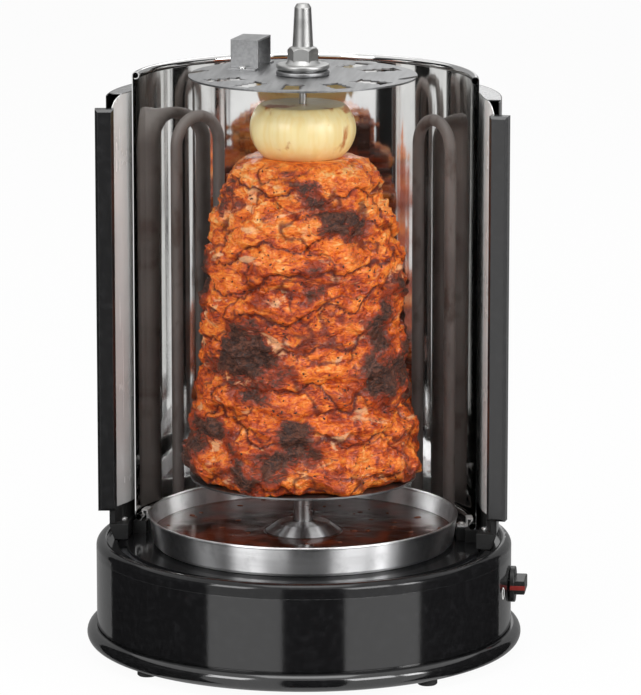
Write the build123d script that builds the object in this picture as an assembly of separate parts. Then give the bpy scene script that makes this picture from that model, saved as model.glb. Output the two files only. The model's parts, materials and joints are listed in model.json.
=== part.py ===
from build123d import *
import math
import os

# Vertical electric skewer grill, in millimetres.
# Frame: Z up, origin on the table at the middle of the round base.
# An azimuth is measured in degrees from the front (-Y) towards the switch side (+X).

# ---------------------------------------------------------------- base
BASE_RADIUS = 138.4          # outside of the base wall
FLANGE_REACH = 6.6           # how far the rounded foot flange stands out of the wall
FOOT_HEIGHT = 5.0
FOOT_RADIUS = 6.6
FOOT_INSET = 8.4             # from the base wall to the feet's circle
FOOT_ANGLES = (45, 135, 225, 315)
FLANGE_HEIGHT = 12.6         # from the underside of the base to the wall
WALL_HEIGHT = 48.0
DECK_LEVEL = 71.5            # top of the deck
SHOULDER_HEIGHT = 3.5        # how far the rounded shoulder stands above the deck
SHOULDER_RADIUS = 5.0
SHOULDER_INNER_RADIUS = 2.0
SHOULDER_WIDTH = 7.4
BASE_WALL = 2.4
DECK_THICKNESS = 2.5
FLOOR_THICKNESS = 2.5
SEAM_GAP = 0.15
SEAM_DEPTH = 0.8             # groove below the base wall
LIP_HEIGHT = 4.0
LIP_THICKNESS = 2.0
FOOT_CHAMFER = 0.8
FOOT_SCREW_SEAT = 3.0
FOOT_SCREW = 6.0
BASE_SCREW_SINK = 0.4        # heads in the base's underside
FLANGE_SHELF = 1.4           # flat left inside the flange's rounded top
VENT_ROWS = 7
VENT_PITCH = 10.0
VENT_SIZE = (44.0, 4.0)

# ---------------------------------------------------------------- door track in the deck
TRACK_INSET = 16.9           # from the base wall to the middle of the slot the doors run in
SLOT_WIDTH = 5.4
CHAMBER_WIDTH = 9.6
CHAMBER_HEIGHT = 4.5
TRACK_WALL = 2.2
TRACK_FLANGE = 5.2
RUNNING_GAP = 0.35           # all round the door shoes
BOSS_RADIUS = 5.0
BOSS_ANGLES = (30, 150, 210, 330)
TRACK_SCREW_ANGLES = (20, 80, 160, 200, 280, 340)
TRACK_SCREW = 4.2

# ---------------------------------------------------------------- reflector
REFLECTOR_INSET = 6.5        # from the track's middle to the outside of the bright rear sheet
SHEET = 0.6
REFLECTOR_END = 93.0         # azimuth of its two upright ends
REFLECTOR_BOTTOM = 80.0
REFLECTOR_TOP = 384.0
CURL_DIAMETER = 5.0
CURL_OPENING = 62.0          # degrees left open where the rolled edge ends
SEAT_INWARDS = 7.4           # from the sheet's outside
SEAT_OUTWARDS = 1.4
CLIP_ANGLES = (100, 180, 260)
CLIP_SPAN = 5.0              # degrees of arc
CLIP_SHEET = 0.8
CLIP_LIP = 3.4
CLIP_GAP = 0.6
CLIP_SCREW = 6.0
CLIP_SCREW_HEAD = 2.2
CLIP_SCREW_INSET = 9.8       # from the sheet's outside
LUG_INWARDS = 13.2
LUG_SPAN = 8.0

# ---------------------------------------------------------------- doors
SKIN_OUTSET = 8.5            # from the track's middle to the outside of the black skin
DOOR_TOP = 370.0
DOOR_REAR = 178.5            # azimuth of the rear edge, doors open
LINER_INSET = 3.6            # from the track's middle to the liner's outside, behind its flare
LINER_FLARE_START = 100.0    # azimuth
LINER_FRONT_INSET = 3.0      # from the skin's outside
LINER_CORNER = 12.0
RAIL_TOP = 93.0
RAIL_LEDGE = 82.0
RAIL_TAPER = 3.4
HANDLE_FRONT = 81.5          # azimuth of the handle's front face
HANDLE_DEPTH = 12.4          # along the radius
HANDLE_WIDTH = 9.0           # round the circle
HANDLE_PROUD = 7.0           # out of the skin
HANDLE_BOTTOM = 92.0
HANDLE_TOP = 362.0
HANDLE_CHAMFER = 1.8
DOOR_SCREW_ANGLES = (90, 132, 174)
DOOR_SCREW_RADIUS = 1.25
SHOE_FRONT = 86.0
RAIL_FRONT = 83.5

# ---------------------------------------------------------------- drip pan
SPIT_OFFSET = 4.0            # the turning axis lies this far in front of the base's middle
PAN_RIM_INSET = 2.4          # from the elements' circle, which the pan lies inside of
PAN_FLARE = 3.0
PAN_RIM_LEVEL = 91.7
PAN_SHEET = 0.8
PAN_BEAD = 0.9
PAN_CORNER = 2.0
PAN_REST_GAP = 0.3           # under the pan, which lies on the deck
PAN_CONE_FOOT = 34.0
PAN_CONE_TOP = 17.0
PAN_CONE_HEIGHT = 12.4
PAN_HUB_RISE = 1.4
PAN_POST_GAP = 0.65
DRIPPINGS_DEPTH = 7.2

# ---------------------------------------------------------------- heating elements
ELEMENT_DIAMETER = 8.0
ELEMENT_INSET = 9.6          # from the reflector's outside to the legs' circle
ELEMENT_ANGLES = (119.0, 140.0)   # azimuths of one element's two legs
ELEMENT_TOP = 350.0
ELEMENT_BOTTOM = 56.0
FERRULE_ACROSS = 11.0
FERRULE_HEIGHT = 5.5
INSULATOR_RADIUS = 6.0
INSULATOR_HEIGHT = 10.0
INSULATOR_GAP = 1.0
FERRULE_GAP = 0.5
ELEMENT_GAP = 0.1
TAB_WIDTH = 6.3
TAB_SHEET = 0.8
TAB_LENGTH = 11.0
TAB_HOLE = 0.9

# ---------------------------------------------------------------- drive
MOTOR_RADIUS = 25.0
MOTOR_HEIGHT = 17.0
GEARCASE_HEIGHT = 7.0
MOTOR_EAR_SPACING = 60.0
MOTOR_EAR_RADIUS = 5.0
BRACKET_SHEET = 1.5
BRACKET_WIDTH = 44.0
BRACKET_LENGTH = 78.0
BRACKET_EAR = 11.0
MOTOR_SHAFT_RADIUS = 3.0
SHAFT_FLAT = 2.4             # from the axis to the flat
RUNNING_CLEARANCE = 0.05
DRIVE_RADIUS = 5.0
DRIVE_COLLAR = 8.0
DRIVE_COLLAR_HEIGHT = 1.8
DRIVE_HEX = 9.0              # across the flats
DRIVE_HEX_HEIGHT = 9.5
BUSH_RADIUS = 7.5
BUSH_FLANGE = 9.5
BUSH_FLANGE_HEIGHT = 1.0
HEX_GAP = 0.2
BUSH_TAIL = 4.5
SOCKET_DEPTH = 7.0
DRIVE_TAIL = 9.5             # below the deck's underside
MOTOR_SCREW = 2.8
BRACKET_SCREW = 3.4

# ---------------------------------------------------------------- spit
POST_DIAMETER = 12.7
POST_REST_GAP = 0.3
POST_FLANGE = 12.0
POST_FLANGE_HEIGHT = 1.5
ROD_BOTTOM = 96.0
DISC_RADIUS = 75.0
DISC_SHEET = 1.2
LOWER_DISC_LEVEL = 118.1     # top face
UPPER_DISC_LEVEL = 385.2     # top face
DISC_WINDOWS = 12
WINDOW_RIM = 7.0             # plate left outside the windows
WINDOW_LENGTH = 26.0
WINDOW_WIDTH = 15.0
WINDOW_TOOTH = 2.2
WINDOW_STEPS = 8             # teeth and gaps along one side
HOOK_DEPTH = 15.0
HOOK_WIDTH = 5.0
HOOK_SLANT = 55.0            # degrees from the radius
HOOK_AZIMUTHS = (90.0, 270.0)
PLAIN_AZIMUTHS = (210.0, 240.0)   # under the strap
ROD_RADIUS = 2.5
BORE_GAP = 0.2
CONE_NUT_RADIUS = 6.4
CONE_NUT_HEIGHT = 6.0
FLANGE_PLATE_RADIUS = 17.5
FLANGE_PLATE_HEIGHT = 3.2
FLANGE_PLATE_GAP = 1.0
GRIP_HEX = 17.6
GRIP_HEX_HEIGHT = 11.5
GRIP_FOOT_RADIUS = 11.5
GRIP_FOOT_HEIGHT = 2.6
GRIP_SHANK_RADIUS = 6.8
GRIP_TIP_RADIUS = 5.5
GRIP_HEIGHT = 39.4           # above the upper flange plate
GRIP_BORE_DEPTH = 6.0
STRAP_WIDTH = 19.0
STRAP_HEIGHT = 19.5
STRAP_LENGTH = 29.0
STRAP_SHEET = 1.2
STRAP_FOOT = 10.0
STRAP_SHARES = (-0.552, 0.2813)   # middle of the front leg, as shares of the disc's radius
STRAP_TURN = -9.0            # degrees
RIVET_RADIUS = 2.6

# ---------------------------------------------------------------- food on the spit
MEAT_TOP = 331.5
MEAT_HEM = (                 # shares of the disc's radius and of the meat's height, from the foot up
    (0.880, 0.000), (1.060, 0.052), (1.007, 0.127), (1.033, 0.178),
    (0.940, 0.234), (0.967, 0.291), (0.913, 0.347), (0.947, 0.412),
    (0.887, 0.483), (0.927, 0.553), (0.867, 0.628), (0.893, 0.684),
    (0.813, 0.750), (0.820, 0.811), (0.713, 0.876), (0.673, 0.951),
    (0.507, 1.000),
)
ONION_RADIUS = 35.5
ONION_TOP_RADIUS = 29.0
ONION_TOP = 366.0

# ---------------------------------------------------------------- switch and inlet
SWITCH_LEVEL = 45.5
KNOB_RADIUS = 12.0
KNOB_SKIRT = 3.2
KNOB_PROUD = 10.4
KNOB_BAR = 9.0
KNOB_GAP = 0.3
SWITCH_NECK = 5.0
SWITCH_SHAFT = 3.0
SWITCH_BOX = 26.0
SWITCH_BOX_DEPTH = 18.0
SWITCH_BOX_GAP = 0.7         # the round wall's inside touches the box at its edges
SWITCH_NUT_ACROSS = 13.0
SWITCH_NUT_HEIGHT = 1.6
KNOB_RECESS = 9.0
KNOB_POINTER = 3.0
SWITCH_TAB_PITCH = 7.0
MARK_ANGLES = (78.7, 101.3)
MARK_HEIGHT = 8.0
MARK_PROUD = 0.12
INLET_LEVEL = 34.0
INLET_RADIUS = 6.5
INLET_BORE = 3.6
INLET_FLANGE = 9.5
INLET_PROUD = 4.0
INLET_SEAT = 0.5
INLET_TAIL = 3.0
CLAMP_INSET = 26.4           # from the base wall
CLAMP_WIDTH = 26.0
CLAMP_DEPTH = 12.0
CLAMP_HEIGHT = 24.0
CUTOUT_INSET = 60.4          # from the base wall
CUTOUT_RADIUS = 8.0
CUTOUT_HEIGHT = 7.0
CUTOUT_FLANGE = 10.5
BLOCK_SIZE = (30.0, 18.0, 16.0)
BLOCK_PLACE = (-62.0, 62.0)
BLOCK_BORE = 1.8

# ---------------------------------------------------------------- fasteners
SCREW_RADIUS = 1.5
SCREW_HEAD_RADIUS = 2.6
SCREW_HEAD = 1.8
SCREW_GAP = 0.1
LONG_SCREW = 16.0

# ---------------------------------------------------------------- circles worked out from these
FLANGE_RADIUS = BASE_RADIUS + FLANGE_REACH
FOOT_CIRCLE = BASE_RADIUS - FOOT_INSET
TRACK_RADIUS = BASE_RADIUS - TRACK_INSET
REFLECTOR_RADIUS = TRACK_RADIUS - REFLECTOR_INSET
SEAT_INSIDE = REFLECTOR_RADIUS - SEAT_INWARDS
SEAT_OUTSIDE = REFLECTOR_RADIUS + SEAT_OUTWARDS
CLIP_SCREW_CIRCLE = REFLECTOR_RADIUS - CLIP_SCREW_INSET
LUG_INSIDE = REFLECTOR_RADIUS - LUG_INWARDS
DOOR_RADIUS = TRACK_RADIUS + SKIN_OUTSET
LINER_RADIUS = TRACK_RADIUS - LINER_INSET
LINER_FRONT_RADIUS = DOOR_RADIUS - LINER_FRONT_INSET
HANDLE_OUTSIDE = DOOR_RADIUS + HANDLE_PROUD
ELEMENT_CIRCLE = REFLECTOR_RADIUS - ELEMENT_INSET
PAN_RIM_RADIUS = ELEMENT_CIRCLE - PAN_RIM_INSET
PAN_FLOOR_RADIUS = PAN_RIM_RADIUS - PAN_FLARE
CLAMP_PLACE = BASE_RADIUS - CLAMP_INSET
CUTOUT_PLACE = BASE_RADIUS - CUTOUT_INSET
WINDOW_OUTSIDE = DISC_RADIUS - WINDOW_RIM
WINDOW_INSIDE = WINDOW_OUTSIDE - WINDOW_LENGTH
STRAP_PLACE = tuple(DISC_RADIUS * share for share in STRAP_SHARES)

# ---------------------------------------------------------------- levels worked out from these
FLOOR = FOOT_HEIGHT
WALL_BOTTOM = FLOOR + FLANGE_HEIGHT
WALL_TOP = WALL_BOTTOM + WALL_HEIGHT
SHOULDER_TOP = DECK_LEVEL + SHOULDER_HEIGHT
DECK_UNDER = DECK_LEVEL - DECK_THICKNESS
TRACK_FLOOR = DECK_UNDER - CHAMBER_HEIGHT
TRACK_UNDER = TRACK_FLOOR - TRACK_WALL
SLOT_INSIDE = TRACK_RADIUS - SLOT_WIDTH / 2
SLOT_OUTSIDE = TRACK_RADIUS + SLOT_WIDTH / 2
CHAMBER_INSIDE = TRACK_RADIUS - CHAMBER_WIDTH / 2
CHAMBER_OUTSIDE = TRACK_RADIUS + CHAMBER_WIDTH / 2
TRACK_INSIDE = CHAMBER_INSIDE - TRACK_WALL
TRACK_OUTSIDE = CHAMBER_OUTSIDE + TRACK_WALL
WALL_INSIDE = BASE_RADIUS - BASE_WALL
SHOULDER_INSIDE = BASE_RADIUS - SHOULDER_WIDTH
PAN_FLOOR = DECK_LEVEL + PAN_REST_GAP
PAN_INSIDE_FLOOR = PAN_FLOOR + PAN_SHEET
POST_RADIUS = POST_DIAMETER / 2
ELEMENT_RADIUS = ELEMENT_DIAMETER / 2
RAIL_BOTTOM = DECK_LEVEL + RUNNING_GAP
BUSH_TOP = DECK_LEVEL + BUSH_FLANGE_HEIGHT
COLLAR_BOTTOM = BUSH_TOP + RUNNING_CLEARANCE
COLLAR_TOP = COLLAR_BOTTOM + DRIVE_COLLAR_HEIGHT
HEX_TOP = COLLAR_TOP + DRIVE_HEX_HEIGHT
POST_BOTTOM = COLLAR_TOP + POST_REST_GAP
BRACKET_LEVEL = DECK_UNDER - BRACKET_EAR
GEARCASE_TOP = BRACKET_LEVEL - BRACKET_SHEET
MOTOR_TOP = GEARCASE_TOP - GEARCASE_HEIGHT
FLANGE_PLATES_TOP = UPPER_DISC_LEVEL + 2 * FLANGE_PLATE_HEIGHT + FLANGE_PLATE_GAP
GRIP_TOP = FLANGE_PLATES_TOP + GRIP_HEIGHT
AXIS_Y = -SPIT_OFFSET
REFLECTOR_SPAN = 360.0 - 2 * REFLECTOR_END
TRACK_SCREW_SEAT = DECK_UNDER - TRACK_WALL
TRACK_SCREW_INSIDE = TRACK_INSIDE - TRACK_FLANGE / 2
TRACK_SCREW_OUTSIDE = TRACK_OUTSIDE + TRACK_FLANGE / 2
BASE_SCREW_SEAT = FLOOR + SCREW_HEAD + BASE_SCREW_SINK
DRIVE_BOTTOM = DECK_UNDER - DRIVE_TAIL
ROD_TOP = FLANGE_PLATES_TOP + GRIP_BORE_DEPTH
DOOR_FRONT = HANDLE_FRONT + math.degrees(HANDLE_WIDTH / DOOR_RADIUS)
CAP_FRONT = DOOR_FRONT + math.degrees(LINER_CORNER / DOOR_RADIUS)


# ---------------------------------------------------------------- helpers
def polar(radius, azimuth, level=0.0):
    angle = math.radians(azimuth)
    return Vector(radius * math.sin(angle), -radius * math.cos(angle), level)


def outline_face(pieces):
    """A flat face inside a closed run of lines and arcs."""
    return make_face([edge for piece in pieces for edge in piece.edges()])


def turned(points, start=0.0, span=360.0):
    """Turn an outline of (radius, level) points round Z, from one azimuth over a span."""
    outline = make_face(Polyline([(r, 0, z) for r, z in points], close=True))
    if span == 360.0:
        return revolve(outline, Axis.Z, 360.0)
    return Rot(0, 0, start - 90.0) * revolve(outline, Axis.Z, span)


def ring(outside, inside, bottom, top, start=0.0, span=360.0):
    """A flat ring, or an arc of one, between two levels."""
    corners = [(inside, bottom), (outside, bottom), (outside, top), (inside, top)]
    return turned(corners, start, span)


def disc(radius, bottom, top, place=(0, 0)):
    """A round plug between two levels."""
    middle = (bottom + top) / 2
    return Pos(place[0], place[1], middle) * Cylinder(radius, top - bottom)


def hexagon(across, bottom, top, place=(0, 0)):
    """A six-sided bar between two levels, given across its flats."""
    outline = RegularPolygon(across / math.sqrt(3), 6)
    return Pos(place[0], place[1], bottom) * extrude(outline, top - bottom)


def on_spit_axis(shape):
    return Pos(0, AXIS_Y, 0) * shape


def facing(radius, azimuth, level):
    """A frame whose X points outwards at an azimuth."""
    return Pos(polar(radius, azimuth, level)) * Rot(0, 0, azimuth - 90.0)


def pan_screw(length, head_radius=SCREW_HEAD_RADIUS, radius=SCREW_RADIUS):
    """A pan-head screw: the head's seat at the origin, head up and shank down."""
    head = Pos(0, 0, SCREW_HEAD / 2) * Cylinder(head_radius, SCREW_HEAD)
    head = fillet(head.edges().sort_by(Axis.Z)[-1], SCREW_HEAD * 0.6)
    shank = Pos(0, 0, -length / 2) * Cylinder(radius, length)
    slot = Box(head_radius, head_radius * 0.22, SCREW_HEAD)
    cross = Pos(0, 0, SCREW_HEAD) * (slot + Rot(0, 0, 90) * slot)
    return head + shank - cross


def group(shapes):
    """Separate solids kept together in one node."""
    return Compound(children=[shape for shape in shapes])


# ---------------------------------------------------------------- base
def base_pan():
    bead = FLANGE_HEIGHT / 2
    shelf = FLANGE_RADIUS - bead + FLANGE_SHELF
    outline = [
        Line((0, 0, FLOOR), (FLANGE_RADIUS - bead, 0, FLOOR)),
        ThreePointArc(
            (FLANGE_RADIUS - bead, 0, FLOOR),
            (FLANGE_RADIUS, 0, FLOOR + bead),
            (shelf, 0, WALL_BOTTOM - SEAM_DEPTH),
        ),
        Polyline(
            (shelf, 0, WALL_BOTTOM - SEAM_DEPTH),
            (BASE_RADIUS - SEAM_DEPTH, 0, WALL_BOTTOM - SEAM_DEPTH),
            (BASE_RADIUS - SEAM_DEPTH, 0, WALL_BOTTOM),
            (WALL_INSIDE - SEAM_GAP, 0, WALL_BOTTOM),
            (WALL_INSIDE - SEAM_GAP, 0, WALL_BOTTOM + LIP_HEIGHT),
            (WALL_INSIDE - BASE_WALL, 0, WALL_BOTTOM + LIP_HEIGHT),
            (WALL_INSIDE - BASE_WALL, 0, FLOOR + FLOOR_THICKNESS),
            (0, 0, FLOOR + FLOOR_THICKNESS),
            (0, 0, FLOOR),
        ),
    ]
    body = revolve(outline_face(outline), Axis.Z, 360.0)
    for azimuth in BOSS_ANGLES:
        spot = polar(TRACK_RADIUS, azimuth)
        body += disc(BOSS_RADIUS, FLOOR, FLOOR + 2 * FLOOR_THICKNESS, (spot.X, spot.Y))
        body -= disc(SCREW_RADIUS + SCREW_GAP, 0, WALL_BOTTOM, (spot.X, spot.Y))
        body -= disc(SCREW_HEAD_RADIUS + SCREW_GAP, 0, BASE_SCREW_SEAT, (spot.X, spot.Y))
    for azimuth in FOOT_ANGLES:
        spot = polar(FOOT_CIRCLE, azimuth)
        body -= disc(SCREW_RADIUS + SCREW_GAP, 0, WALL_BOTTOM, (spot.X, spot.Y))
    vent = extrude(SlotOverall(*VENT_SIZE), WALL_BOTTOM)
    for row in range(VENT_ROWS):
        y = AXIS_Y + (row - VENT_ROWS // 2) * VENT_PITCH
        body -= Pos(0, y, 0) * vent
    return body


def base_shell():
    body = ring(BASE_RADIUS, WALL_INSIDE, WALL_BOTTOM, WALL_TOP)
    across = facing(WALL_INSIDE, 90, SWITCH_LEVEL) * Rot(0, 90, 0)
    body -= across * Cylinder(SWITCH_NECK + SCREW_GAP, 4 * BASE_WALL)
    rear = facing(WALL_INSIDE, 180, INLET_LEVEL) * Rot(0, 90, 0)
    body -= rear * Cylinder(INLET_RADIUS + SCREW_GAP, 4 * BASE_WALL)
    return body


def shoulder_ring():
    crest = BASE_RADIUS - SHOULDER_RADIUS
    drop = SHOULDER_TOP - SHOULDER_RADIUS
    diagonal = SHOULDER_RADIUS * math.sqrt(0.5)
    inner_drop = SHOULDER_TOP - SHOULDER_INNER_RADIUS
    inner_diagonal = SHOULDER_INNER_RADIUS * math.sqrt(0.5)
    inner_middle = SHOULDER_INSIDE + SHOULDER_INNER_RADIUS
    skirt = WALL_INSIDE - SEAM_GAP
    outline = [
        Polyline(
            (SLOT_OUTSIDE, 0, DECK_UNDER),
            (skirt - LIP_THICKNESS, 0, DECK_UNDER),
            (skirt - LIP_THICKNESS, 0, WALL_TOP - LIP_HEIGHT),
            (skirt, 0, WALL_TOP - LIP_HEIGHT),
            (skirt, 0, WALL_TOP),
            (BASE_RADIUS, 0, WALL_TOP),
            (BASE_RADIUS, 0, drop),
        ),
        ThreePointArc(
            (BASE_RADIUS, 0, drop),
            (crest + diagonal, 0, drop + diagonal),
            (crest, 0, SHOULDER_TOP),
        ),
        Line((crest, 0, SHOULDER_TOP), (inner_middle, 0, SHOULDER_TOP)),
        ThreePointArc(
            (inner_middle, 0, SHOULDER_TOP),
            (inner_middle - inner_diagonal, 0, inner_drop + inner_diagonal),
            (SHOULDER_INSIDE, 0, inner_drop),
        ),
        Polyline(
            (SHOULDER_INSIDE, 0, inner_drop),
            (SHOULDER_INSIDE, 0, DECK_LEVEL),
            (SLOT_OUTSIDE, 0, DECK_LEVEL),
            (SLOT_OUTSIDE, 0, DECK_UNDER),
        ),
    ]
    body = revolve(outline_face(outline), Axis.Z, 360.0)
    return body - screw_holes(TRACK_SCREW_OUTSIDE)


def screw_holes(radius):
    """Blind holes in the deck's underside for the ring of track screws."""
    holes = []
    for azimuth in TRACK_SCREW_ANGLES:
        spot = polar(radius, azimuth)
        top = TRACK_SCREW_SEAT + TRACK_SCREW + SCREW_GAP
        holes.append(disc(SCREW_RADIUS + SCREW_GAP, TRACK_UNDER, top, (spot.X, spot.Y)))
    return holes


def leg_places():
    places = []
    for side in (1, -1):
        for azimuth in ELEMENT_ANGLES:
            spot = polar(ELEMENT_CIRCLE, side * azimuth)
            places.append((spot.X, spot.Y))
    return places


def deck_plate():
    body = disc(SLOT_INSIDE, DECK_UNDER, DECK_LEVEL)
    body -= disc(BUSH_RADIUS, DECK_UNDER, DECK_LEVEL, (0, AXIS_Y))
    for place in leg_places():
        body -= disc(ELEMENT_RADIUS + ELEMENT_GAP, DECK_UNDER, DECK_LEVEL, place)
    for place in bracket_screw_places():
        top = DECK_UNDER + TRACK_SCREW - TRACK_WALL + SCREW_GAP
        body -= disc(SCREW_RADIUS + SCREW_GAP, DECK_UNDER, top, place)
    return body - screw_holes(TRACK_SCREW_INSIDE)


def door_track():
    inner_lip = TRACK_INSIDE - TRACK_FLANGE
    outer_lip = TRACK_OUTSIDE + TRACK_FLANGE
    lip_under = DECK_UNDER - TRACK_WALL
    body = turned([
        (inner_lip, DECK_UNDER),
        (CHAMBER_INSIDE, DECK_UNDER),
        (CHAMBER_INSIDE, TRACK_FLOOR),
        (CHAMBER_OUTSIDE, TRACK_FLOOR),
        (CHAMBER_OUTSIDE, DECK_UNDER),
        (outer_lip, DECK_UNDER),
        (outer_lip, lip_under),
        (TRACK_OUTSIDE, lip_under),
        (TRACK_OUTSIDE, TRACK_UNDER),
        (TRACK_INSIDE, TRACK_UNDER),
        (TRACK_INSIDE, lip_under),
        (inner_lip, lip_under),
    ])
    for azimuth in BOSS_ANGLES:
        spot = polar(TRACK_RADIUS, azimuth)
        place = (spot.X, spot.Y)
        body += disc(BOSS_RADIUS, FLOOR + 2 * FLOOR_THICKNESS, TRACK_UNDER, place)
        body -= disc(SCREW_RADIUS + SCREW_GAP, FLOOR, BASE_SCREW_SEAT + LONG_SCREW + 1.0, place)
    for place in leg_places():
        body -= disc(INSULATOR_RADIUS + INSULATOR_GAP, TRACK_UNDER, DECK_UNDER, place)
    body -= screw_holes(TRACK_SCREW_INSIDE)
    return body - screw_holes(TRACK_SCREW_OUTSIDE)


def rubber_feet():
    feet = []
    for azimuth in FOOT_ANGLES:
        foot = Pos(0, 0, FOOT_HEIGHT / 2) * Cylinder(FOOT_RADIUS, FOOT_HEIGHT)
        foot = chamfer(foot.edges().sort_by(Axis.Z)[0], FOOT_CHAMFER)
        foot -= disc(SCREW_HEAD_RADIUS + SCREW_GAP, 0, FOOT_SCREW_SEAT)
        foot -= disc(SCREW_RADIUS + SCREW_GAP, 0, FOOT_HEIGHT)
        feet.append(Pos(polar(FOOT_CIRCLE, azimuth)) * foot)
    return group(feet)


def screws_up(places, seat, length, radius=SCREW_RADIUS):
    """Screws driven from below: heads under the seat, shanks upwards."""
    screw = Rot(180, 0, 0) * pan_screw(length, radius=radius)
    return group([Pos(x, y, seat) * screw for x, y in places])


def polar_places(radius, angles):
    return [(polar(radius, a).X, polar(radius, a).Y) for a in angles]


def base_screws():
    """The screws seen from below: one in each foot and one in each boss."""
    feet = screws_up(polar_places(FOOT_CIRCLE, FOOT_ANGLES), FOOT_SCREW_SEAT, FOOT_SCREW)
    bosses = screws_up(polar_places(TRACK_RADIUS, BOSS_ANGLES), BASE_SCREW_SEAT, LONG_SCREW)
    return group(list(feet.solids()) + list(bosses.solids()))


def track_screws():
    places = polar_places(TRACK_SCREW_INSIDE, TRACK_SCREW_ANGLES)
    places += polar_places(TRACK_SCREW_OUTSIDE, TRACK_SCREW_ANGLES)
    return screws_up(places, TRACK_SCREW_SEAT, TRACK_SCREW)


# ---------------------------------------------------------------- reflector
def curl(level, towards):
    """The rolled edge's section: a ring with a gap where the sheet's end stops."""
    middle = REFLECTOR_RADIUS - CURL_DIAMETER / 2
    section = Circle(CURL_DIAMETER / 2) - Circle(CURL_DIAMETER / 2 - SHEET)
    reach = CURL_DIAMETER
    open_angle = math.radians(CURL_OPENING)
    tip = (reach * math.cos(open_angle), -towards * reach * math.sin(open_angle))
    wedge = make_face(Polyline([(0, 0), (reach, 0), tip], close=True))
    return Pos(middle, level) * (section - wedge)


def reflector():
    low = REFLECTOR_BOTTOM + CURL_DIAMETER / 2
    high = REFLECTOR_TOP - CURL_DIAMETER / 2
    wall = Pos(REFLECTOR_RADIUS - SHEET / 2, (low + high) / 2) * Rectangle(SHEET, high - low)
    section = wall + curl(low, -1) + curl(high, 1)
    body = revolve(Plane.XZ * section, Axis.Z, REFLECTOR_SPAN)
    return Rot(0, 0, REFLECTOR_END - 90.0) * body


def reflector_seat():
    low = DECK_LEVEL
    high = REFLECTOR_BOTTOM
    body = ring(SEAT_OUTSIDE, SEAT_INSIDE, low, high, REFLECTOR_END, REFLECTOR_SPAN)
    for azimuth in CLIP_ANGLES:
        spot = polar(CLIP_SCREW_CIRCLE, azimuth)
        body += ring(SEAT_INSIDE + 1, LUG_INSIDE, low, high, azimuth - LUG_SPAN / 2, LUG_SPAN)
        body -= disc(SCREW_RADIUS + SCREW_GAP, low + 1, high, (spot.X, spot.Y))
    for place in leg_places():
        body -= disc(FERRULE_ACROSS / math.sqrt(3) + FERRULE_GAP, low, high, place)
    return body


def reflector_clips():
    clips = []
    under = REFLECTOR_BOTTOM
    over = REFLECTOR_BOTTOM + CURL_DIAMETER + SCREW_GAP
    riser = REFLECTOR_RADIUS - CURL_DIAMETER - CLIP_GAP
    toe = LUG_INSIDE + CLIP_GAP
    for azimuth in CLIP_ANGLES:
        clip = turned([
            (toe, under),
            (riser, under),
            (riser, over),
            (riser + CLIP_LIP, over),
            (riser + CLIP_LIP, over + CLIP_SHEET),
            (riser - CLIP_SHEET, over + CLIP_SHEET),
            (riser - CLIP_SHEET, under + CLIP_SHEET),
            (toe, under + CLIP_SHEET),
        ], azimuth - CLIP_SPAN / 2, CLIP_SPAN)
        spot = polar(CLIP_SCREW_CIRCLE, azimuth)
        clips.append(clip - disc(SCREW_RADIUS + SCREW_GAP, under, over, (spot.X, spot.Y)))
    return group(clips)


def clip_screws():
    screw = pan_screw(CLIP_SCREW, head_radius=CLIP_SCREW_HEAD)
    seat = REFLECTOR_BOTTOM + CLIP_SHEET
    places = polar_places(CLIP_SCREW_CIRCLE, CLIP_ANGLES)
    return group([Pos(x, y, seat) * screw for x, y in places])


# ---------------------------------------------------------------- heating elements
def heating_element(side):
    feet = [polar(ELEMENT_CIRCLE, side * azimuth) for azimuth in ELEMENT_ANGLES]
    half = (feet[1] - feet[0]).length / 2
    bend_level = ELEMENT_TOP - ELEMENT_RADIUS - half
    middle = (feet[0] + feet[1]) * 0.5
    corners = [Vector(foot.X, foot.Y, bend_level) for foot in feet]
    starts = [Vector(foot.X, foot.Y, ELEMENT_BOTTOM) for foot in feet]
    route = Wire([
        Line(starts[0], corners[0]),
        ThreePointArc(corners[0], Vector(middle.X, middle.Y, bend_level + half), corners[1]),
        Line(corners[1], starts[1]),
    ])
    return sweep(Plane(starts[0], z_dir=(0, 0, 1)) * Circle(ELEMENT_RADIUS), route)


def element_ferrules():
    top = DECK_LEVEL + FERRULE_HEIGHT
    ferrules = []
    for place in leg_places():
        nut = hexagon(FERRULE_ACROSS, DECK_LEVEL, top, place)
        ferrules.append(nut - disc(ELEMENT_RADIUS + SCREW_GAP / 2, DECK_LEVEL, top, place))
    return group(ferrules)


def element_insulators():
    bottom = DECK_UNDER - INSULATOR_HEIGHT
    rings = []
    for place in leg_places():
        body = disc(INSULATOR_RADIUS, bottom, DECK_UNDER, place)
        rings.append(body - disc(ELEMENT_RADIUS + SCREW_GAP / 2, bottom, DECK_UNDER, place))
    return group(rings)


def element_tabs():
    """A connector tab under each leg."""
    hole = Pos(0, 0, -TAB_LENGTH / 4) * Rot(90, 0, 0) * Cylinder(TAB_HOLE, TAB_WIDTH)
    tab = Box(TAB_WIDTH, TAB_SHEET, TAB_LENGTH) - hole
    level = ELEMENT_BOTTOM - TAB_LENGTH / 2
    return group([Pos(x, y, level) * tab for x, y in leg_places()])


# ---------------------------------------------------------------- motor and drive
def bracket_screw_places():
    across = BRACKET_LENGTH / 2 + BRACKET_EAR / 2
    along = BRACKET_WIDTH / 4
    return [(sx * across, AXIS_Y + sy * along) for sx in (1, -1) for sy in (1, -1)]


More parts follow.
